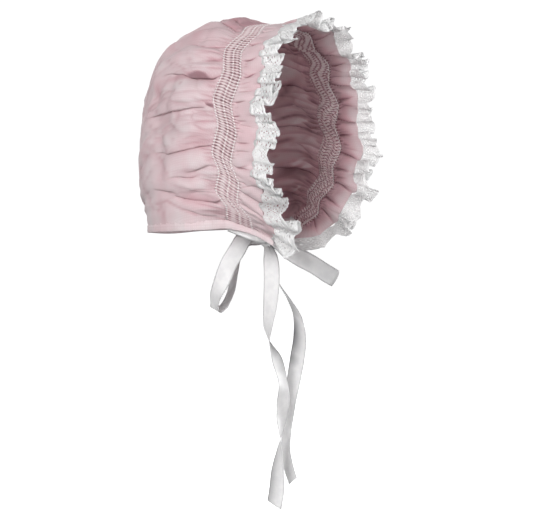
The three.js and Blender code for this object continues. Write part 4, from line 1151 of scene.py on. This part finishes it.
# The neck binding: a folded strip that runs under the feet of the cloth from chin to chin.
def neck_line():
    """The feet of the brim, band and crown, from the near chin round the nape to the far chin."""
    ends = np.array([0.0, 1.0])
    fine = np.linspace(0, 1, 121)

    def side(k):
        root, _, _, brim_way, *_ = frill_frame(fine)
        i = 0 if k == 0 else -1
        feet = [root[i] + brim_way[i] * BRIM_LENGTH * share for share in (1 - CLOTH_WALL / BRIM_LENGTH, 0.5)]
        for forward in (1, 0):
            foot = band_hoop(forward, ends)[0][k]
            foot[1] += CHEVRON_RISE
            feet.append(foot)
        for j in range(1, 9):
            feet.append(hoop(**crown_section(NAPE * j / 9), shares=ends)[0][k])
        return feet

    nape = hoop(**crown_section(NAPE), shares=ends)[0][0] + [0, -CLOTH_WALL, -CLOTH_WALL]
    return np.array(side(0) + [nape] + side(1)[::-1])


def way_along(points):
    """The length of the way to each point of a line."""
    return np.concatenate([[0], np.cumsum(np.linalg.norm(np.diff(points, axis=0), axis=1))])


def resample(line, count):
    """A line with its corners cut twice, as evenly spaced points, and its length."""
    for _ in range(2):
        cut = np.empty((2 * len(line) - 2, 3))
        cut[0::2] = line[:-1] * 0.75 + line[1:] * 0.25
        cut[1::2] = line[:-1] * 0.25 + line[1:] * 0.75
        line = np.concatenate([line[:1], cut, line[-1:]])
    length = way_along(line)
    at = np.linspace(0, length[-1], count)
    return np.stack([np.interp(at, length, line[:, k]) for k in range(3)], -1), length[-1]


def binding_frame(count):
    """Points of the neck line, their ways outward and along, and its length."""
    line, length = resample(neck_line(), count)
    way = unit(np.gradient(line, axis=0))
    return line, unit(np.cross(UP, way)), way, length


def make_binding():
    """The strip's profile goes down outside, round the fold at the bottom, and up inside."""
    count = 361
    line, out, _, length = binding_frame(count)
    half = 0.75
    fold = BINDING_HEIGHT * 0.93
    profile = []
    for t in np.linspace(0, 1, 6)[:-1]:
        profile.append((half * (0.15 + 0.85 * min(1, t / 0.4)), -fold * t))
    for angle in np.linspace(0, math.pi, 7):
        profile.append((half * math.cos(angle), -fold - BINDING_HEIGHT * 0.07 * math.sin(angle)))
    for t in np.linspace(1, 0, 6)[1:]:
        profile.append((-half - 0.15 * math.sin(math.pi * t), -fold * t))
    at = np.linspace(0, 1, count)
    tall = 0.6 + 0.4 * smooth(at, 0.02, 0.16) * smooth(1 - at, 0.02, 0.16)
    pucker = 0.16 * np.sin(2 * math.pi * 97 * at + 2.5 * np.sin(31 * at))
    pucker = pucker + 0.2 * np.sin(2 * math.pi * 41 * at + 2 * np.sin(13 * at))
    rows = []
    for across, down in profile:
        hold = math.exp(-(((-down) - 0.9) / 0.7) ** 2)
        side = 1 if across > 0 else -1
        offset = across + CLOTH_WALL / 2 - side * 0.22 * hold + pucker * (0.4 + 0.6 * hold)
        drop = down * tall - HEM_GAP + 0.4
        rows.append(line + out * offset[:, None] + UP * drop[:, None])
    rows = np.array(rows)[::-1]
    share, across = np.meshgrid(np.linspace(0, length / 10, count), np.linspace(0, 1.3, len(profile)))
    marks = {"crease": np.zeros(rows.shape[:2])}
    uv = np.stack([share, across], -1)
    return cloth("bound_neck_edge", rows, uv, BATISTE_WALL, pink_batiste, marks), length


def make_neck_stitches(stitch):
    """Short stitches all along the outer side of the binding."""
    count = 190
    line, out, way, length = binding_frame(count)
    places = []
    for k in range(2, count - 2):
        middle = line[k] + out[k] * (CLOTH_WALL / 2 + 0.72) + UP * (-HEM_GAP - 1.6)
        places.append((middle, way[k], out[k], length / count * 0.6, 0.6))
    return sew("neck_edge_stitches", stitch, places, white_thread)


# The bow and ties.
KNOT = np.array(KNOT_PLACE, float)
ASIDE = np.array([math.cos(math.radians(BOW_YAW)), math.sin(math.radians(BOW_YAW)), 0.0])
AHEAD = np.cross(ASIDE, UP)


def centripetal(points, steps):
    """Points on a centripetal Catmull-Rom curve at even shares of its spans, as the part's own curve has."""
    found = []
    last = len(points) - 1
    for k in range(steps + 1):
        at = k / steps * last
        i = min(int(at), last - 1)
        weight = at - i
        p1, p2 = points[i], points[i + 1]
        p0 = points[i - 1] if i > 0 else 2 * p1 - p2
        p3 = points[i + 2] if i + 2 <= last else 2 * p2 - p1
        d0, d1, d2 = (max(np.linalg.norm(b - a) ** 0.5, 1e-4) for a, b in ((p0, p1), (p1, p2), (p2, p3)))
        t1 = ((p1 - p0) / d0 - (p2 - p0) / (d0 + d1) + (p2 - p1) / d1) * d1
        t2 = ((p2 - p1) / d1 - (p3 - p1) / (d1 + d2) + (p3 - p2) / d2) * d1
        c2 = -3 * p1 + 3 * p2 - 2 * t1 - t2
        c3 = 2 * p1 - 2 * p2 + t1 + t2
        found.append(p1 + t1 * weight + c2 * weight ** 2 + c3 * weight ** 3)
    return np.array(found)


def ribbon(name, places, across, width, cup, cut=0.0):
    """A satin ribbon through places, and its length. At each place its width has a way (across) and a size.
    cup is how far its middle stands out, and cut is how far its end is cut on the slant."""
    count = len(places)
    way = unit(np.gradient(places, axis=0))
    wide = unit(across - way * np.sum(across * way, axis=1, keepdims=True))
    thick = np.cross(way, wide)
    length = way_along(places)
    steps = np.linspace(-0.5, 0.5, 13)
    rows = []
    pinch = np.clip(1 - width / RIBBON_WIDTH, 0, 1)
    for w in steps:
        pleat = 1.6 * pinch * np.cos(3 * math.pi * w * 2)
        bend = cup * (1 - (2 * w) ** 2) + pleat + 0.12 * np.sin(length / 7 + 3 * w)
        end = np.zeros(count)
        end[-4:] = np.linspace(0, 1, 4) * cut * w
        rows.append(places + wide * (w * width)[:, None] + thick * bend[:, None] + way * end[:, None])
    rows = np.array(rows)
    uv = np.stack(np.broadcast_arrays(steps[:, None], length[None] / 10), -1)
    # Painted shade where the ribbon's gleam turns dark, from RIBBON_SHADES.
    crease = np.zeros(rows.shape[:2])
    share = length / length[-1]
    for along, aside, long, reach, dark in RIBBON_SHADES.get(name, []):
        away = ((share[None] - along) / long) ** 2 + ((steps[:, None] - aside) / reach) ** 2
        crease = np.maximum(crease, dark * np.exp(-away))
    return cloth(name, rows, uv, SATIN_WALL, white_satin, {"crease": crease}), length[-1]


def bow_ribbon(name, route, length, cup, cut=0.0):
    """A ribbon of the bow along its route. Its ends at the knot are led on into the knot."""
    table = np.array(route, float)
    points = KNOT + ASIDE * table[:, :1] * length + AHEAD * table[:, 1:2] * length
    points = points - UP * table[:, 2:3] * length
    start = KNOT + (points[0] - KNOT) * INTO_KNOT
    if name.endswith("loop"):
        points = np.concatenate([[start], points, [KNOT + (points[-1] - KNOT) * INTO_KNOT]])
        table = np.concatenate([table[:1], table, table[-1:]])
    else:
        points = np.concatenate([[start], points])
        table = np.concatenate([table[:1], table])
    steps = 12 * (len(points) - 1)
    places = centripetal(points, steps)
    at = np.arange(steps + 1) / steps * (len(points) - 1)
    slant, turn, spread = (soft_column(at, table[:, k]) for k in (3, 4, 5))
    slant, turn = np.radians(slant), np.radians(turn)
    across = ASIDE * np.cos(slant)[:, None] + UP * np.sin(slant)[:, None]
    across = across * np.cos(turn)[:, None] + AHEAD * np.sin(turn)[:, None]
    return ribbon(name, places, across, RIBBON_WIDTH * spread, cup, cut)


def soft_column(at, values):
    """A column of a route between its rows, with its corners rounded."""
    fine = np.interp(at, np.arange(len(values)), values)
    window = np.hanning(13)
    padded = np.concatenate([np.full(6, fine[0]), fine, np.full(6, fine[-1])])
    return np.convolve(padded, window / window.sum(), mode="valid")


def tie(name, side):
    """The ribbon from one end of the neck edge to the knot. side is -1 for the near one, 1 for the far."""
    k = 0 if side < 0 else 1
    inside = BINDING_WALL / 2 + TIE_CLEARANCE
    low = -HEM_GAP - BINDING_HEIGHT / 2
    ends = np.array([0.0, 1.0])
    start = band_hoop(0, ends)[0][k] + [-side * inside, CHEVRON_RISE, low]
    bend = band_hoop(1, ends)[0][k] + [-side * inside, CHEVRON_RISE + inside, low]
    end = KNOT + AHEAD * (-side * KNOT_SIZE * 0.3)
    places = centripetal(np.array([start, bend, end]), 48)
    at = np.linspace(0, 1, 49)
    width = RIBBON_WIDTH * (0.8 - 0.3 * smooth(at, 0.6, 1))
    return ribbon(name, places, np.tile(UP, (49, 1)), width, 0.3)


def make_knot():
    """The knot: ribbon wrapped round itself, plump in front, with its folds drawn in towards both ends."""
    rings, segments = 28, 56
    rows, uvs = [], []
    for j in range(rings + 1):
        polar = math.pi * j / rings
        row, uv_row = [], []
        for i in range(segments + 1):
            angle = 2 * math.pi * i / segments
            level, rise = math.sin(polar), math.cos(polar)
            wrap = 0.5 * math.cos(3 * angle + 2.2 * rise) * level
            fold = 0.35 * math.cos(9 * rise + 1.3 * math.sin(angle))
            size = KNOT_SIZE / 2 * (1 - 0.05 * abs(rise)) + (wrap + fold) * level
            right = size * level * math.cos(angle) * 0.95
            front = size * level * math.sin(angle) * 0.9
            row.append(KNOT + ASIDE * right + AHEAD * front + UP * size * rise * 1.08)
            uv_row.append(((j / rings - 0.5), i / segments * 2.8))
        rows.append(row)
        uvs.append(uv_row)
    rows = np.array(rows)[::-1]
    rows[:, -1] = rows[:, 0]
    return cloth("wrapped_knot", rows, np.array(uvs)[::-1], 0, white_satin, merge=True)


crown = make_crown()
band = make_band()
brim = make_brim()
lace = make_lace()
binding, binding_length = make_binding()
stitch = one_stitch()
smocking = make_smocking_stitches(stitch)
hemming = make_neck_stitches(stitch)
bpy.data.objects.remove(stitch, do_unlink=True)
near_loop, near_loop_length = bow_ribbon("near_loop", NEAR_LOOP, LOOP_LENGTH, 0.5)
far_loop, far_loop_length = bow_ribbon("far_loop", FAR_LOOP, LOOP_LENGTH, 0.5)
front_tail, front_tail_length = bow_ribbon("front_tail", FRONT_TAIL, TAIL_LENGTH, 0.35, TAIL_CUT)
back_tail, back_tail_length = bow_ribbon("back_tail", BACK_TAIL, TAIL_LENGTH, 0.35, -TAIL_CUT)
near_ribbon_tie, near_tie_length = tie("near_ribbon_tie", -1)
far_ribbon_tie, far_tie_length = tie("far_ribbon_tie", 1)
knot = make_knot()


def dress(obj, slot, *nodes):
    """Says what a piece rides on and which nodes it stands for. The slot is not used."""
    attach(obj, "root")
    if nodes:
        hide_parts(*nodes)


dress(crown, "pink_batiste", "crown")
dress(band, "smocked_batiste", "smocked_band")
dress(brim, "pink_batiste", "frilled_brim")
dress(lace, "white_lace", "lace_edge")
dress(binding, "pink_batiste", "neck_binding")
dress(smocking, "white_lace")
dress(hemming, "white_lace")
dress(near_loop, "white_satin", "near_bow_loop")
dress(far_loop, "white_satin", "far_bow_loop")
dress(front_tail, "white_satin", "front_ribbon_tail")
dress(back_tail, "white_satin", "back_ribbon_tail")
dress(near_ribbon_tie, "white_satin", "near_tie")
dress(far_ribbon_tie, "white_satin", "far_tie")
dress(knot, "white_satin", "bow_knot")


def aim(obj, target, azimuth, elevation, distance):
    """Puts a camera or a lamp at angles in degrees and a distance in metres from what it looks at."""
    a, e = math.radians(azimuth), math.radians(elevation)
    way = Vector((math.sin(a) * math.cos(e), -math.cos(a) * math.cos(e), math.sin(e)))
    bpy.context.collection.objects.link(obj)
    obj.location = Vector(target) + way * distance
    obj.rotation_euler = (-way).to_track_quat("-Z", "Y").to_euler()


# Camera: the photograph's angle, from far off.
camera_data = bpy.data.cameras.new("camera")
camera_data.lens = 128
camera_data.sensor_width = 36
camera_data.clip_start = 0.05
camera_data.clip_end = 20
camera = bpy.data.objects.new("camera", camera_data)
aim(camera, target=(0.0, 0.009, -0.133), azimuth=-55.0, elevation=2.3, distance=1.1)
bpy.context.scene.camera = camera


# A plain white floor that the light washes out.
def make_floor():
    material, tree, shader = start_material("white_paper_floor", Roughness=0.95)
    place = add(tree, "ShaderNodeTexCoord").outputs["Object"]
    grain = add(tree, NOISE, None, {"Vector": place, "Scale": 30})
    tone = add(tree, RAMP, None, {"Fac": grain.outputs["Fac"]}, [(0.0, "#fbfbfb"), (1.0, "#ffffff")])
    set_inputs(tree, shader, {
        "Base Color": tone.outputs["Color"], "Emission Color": (1, 1, 1, 1), "Emission Strength": 1.0,
    })
    bpy.ops.object.select_all(action="DESELECT")
    bpy.ops.mesh.primitive_plane_add(size=12, location=(0, 0, -0.3))
    floor = bpy.context.object
    floor.name = "paper_floor"
    floor.data.materials.append(material)
    floor.visible_diffuse = False


def area_light(name, azimuth, elevation, distance, size, power):
    """A square lamp aimed at the bonnet: angles in degrees, distance and size in metres, power in watts."""
    data = bpy.data.lights.new(name, "AREA")
    data.shape = "SQUARE"
    data.size = size
    data.energy = power
    aim(bpy.data.objects.new(name, data), (0, 0.02, -0.08), azimuth, elevation, distance)


def make_studio():
    """Soft white light from all round, and a white wall behind the object where the camera looks past it."""
    world = bpy.data.worlds.new("studio")
    bpy.context.scene.world = world
    world.use_nodes = True
    tree = world.node_tree
    room = tree.nodes["Background"]
    set_inputs(tree, room, {"Color": (1, 1, 1, 1), "Strength": 0.13})
    wall = add(tree, "ShaderNodeBackground", None, {"Color": (1, 1, 1, 1), "Strength": 1.05})
    seen = add(tree, "ShaderNodeLightPath").outputs["Is Camera Ray"]
    mixed = add(tree, "ShaderNodeMixShader", None, {0: seen, 1: room.outputs[0], 2: wall.outputs[0]})
    tree.links.new(mixed.outputs[0], tree.nodes["World Output"].inputs["Surface"])


make_floor()
area_light("key", -78, 22, 1.2, 0.6, 10.5)
area_light("front", -50, 20, 1.4, 0.5, 1.2)
area_light("back", 62, 5, 1.2, 0.8, 15)
area_light("low", -58, -32, 0.6, 0.3, 0.8)
area_light("behind", 150, 38, 1.4, 0.9, 4.5)
make_studio()
bpy.context.scene.view_settings.view_transform = "Standard"
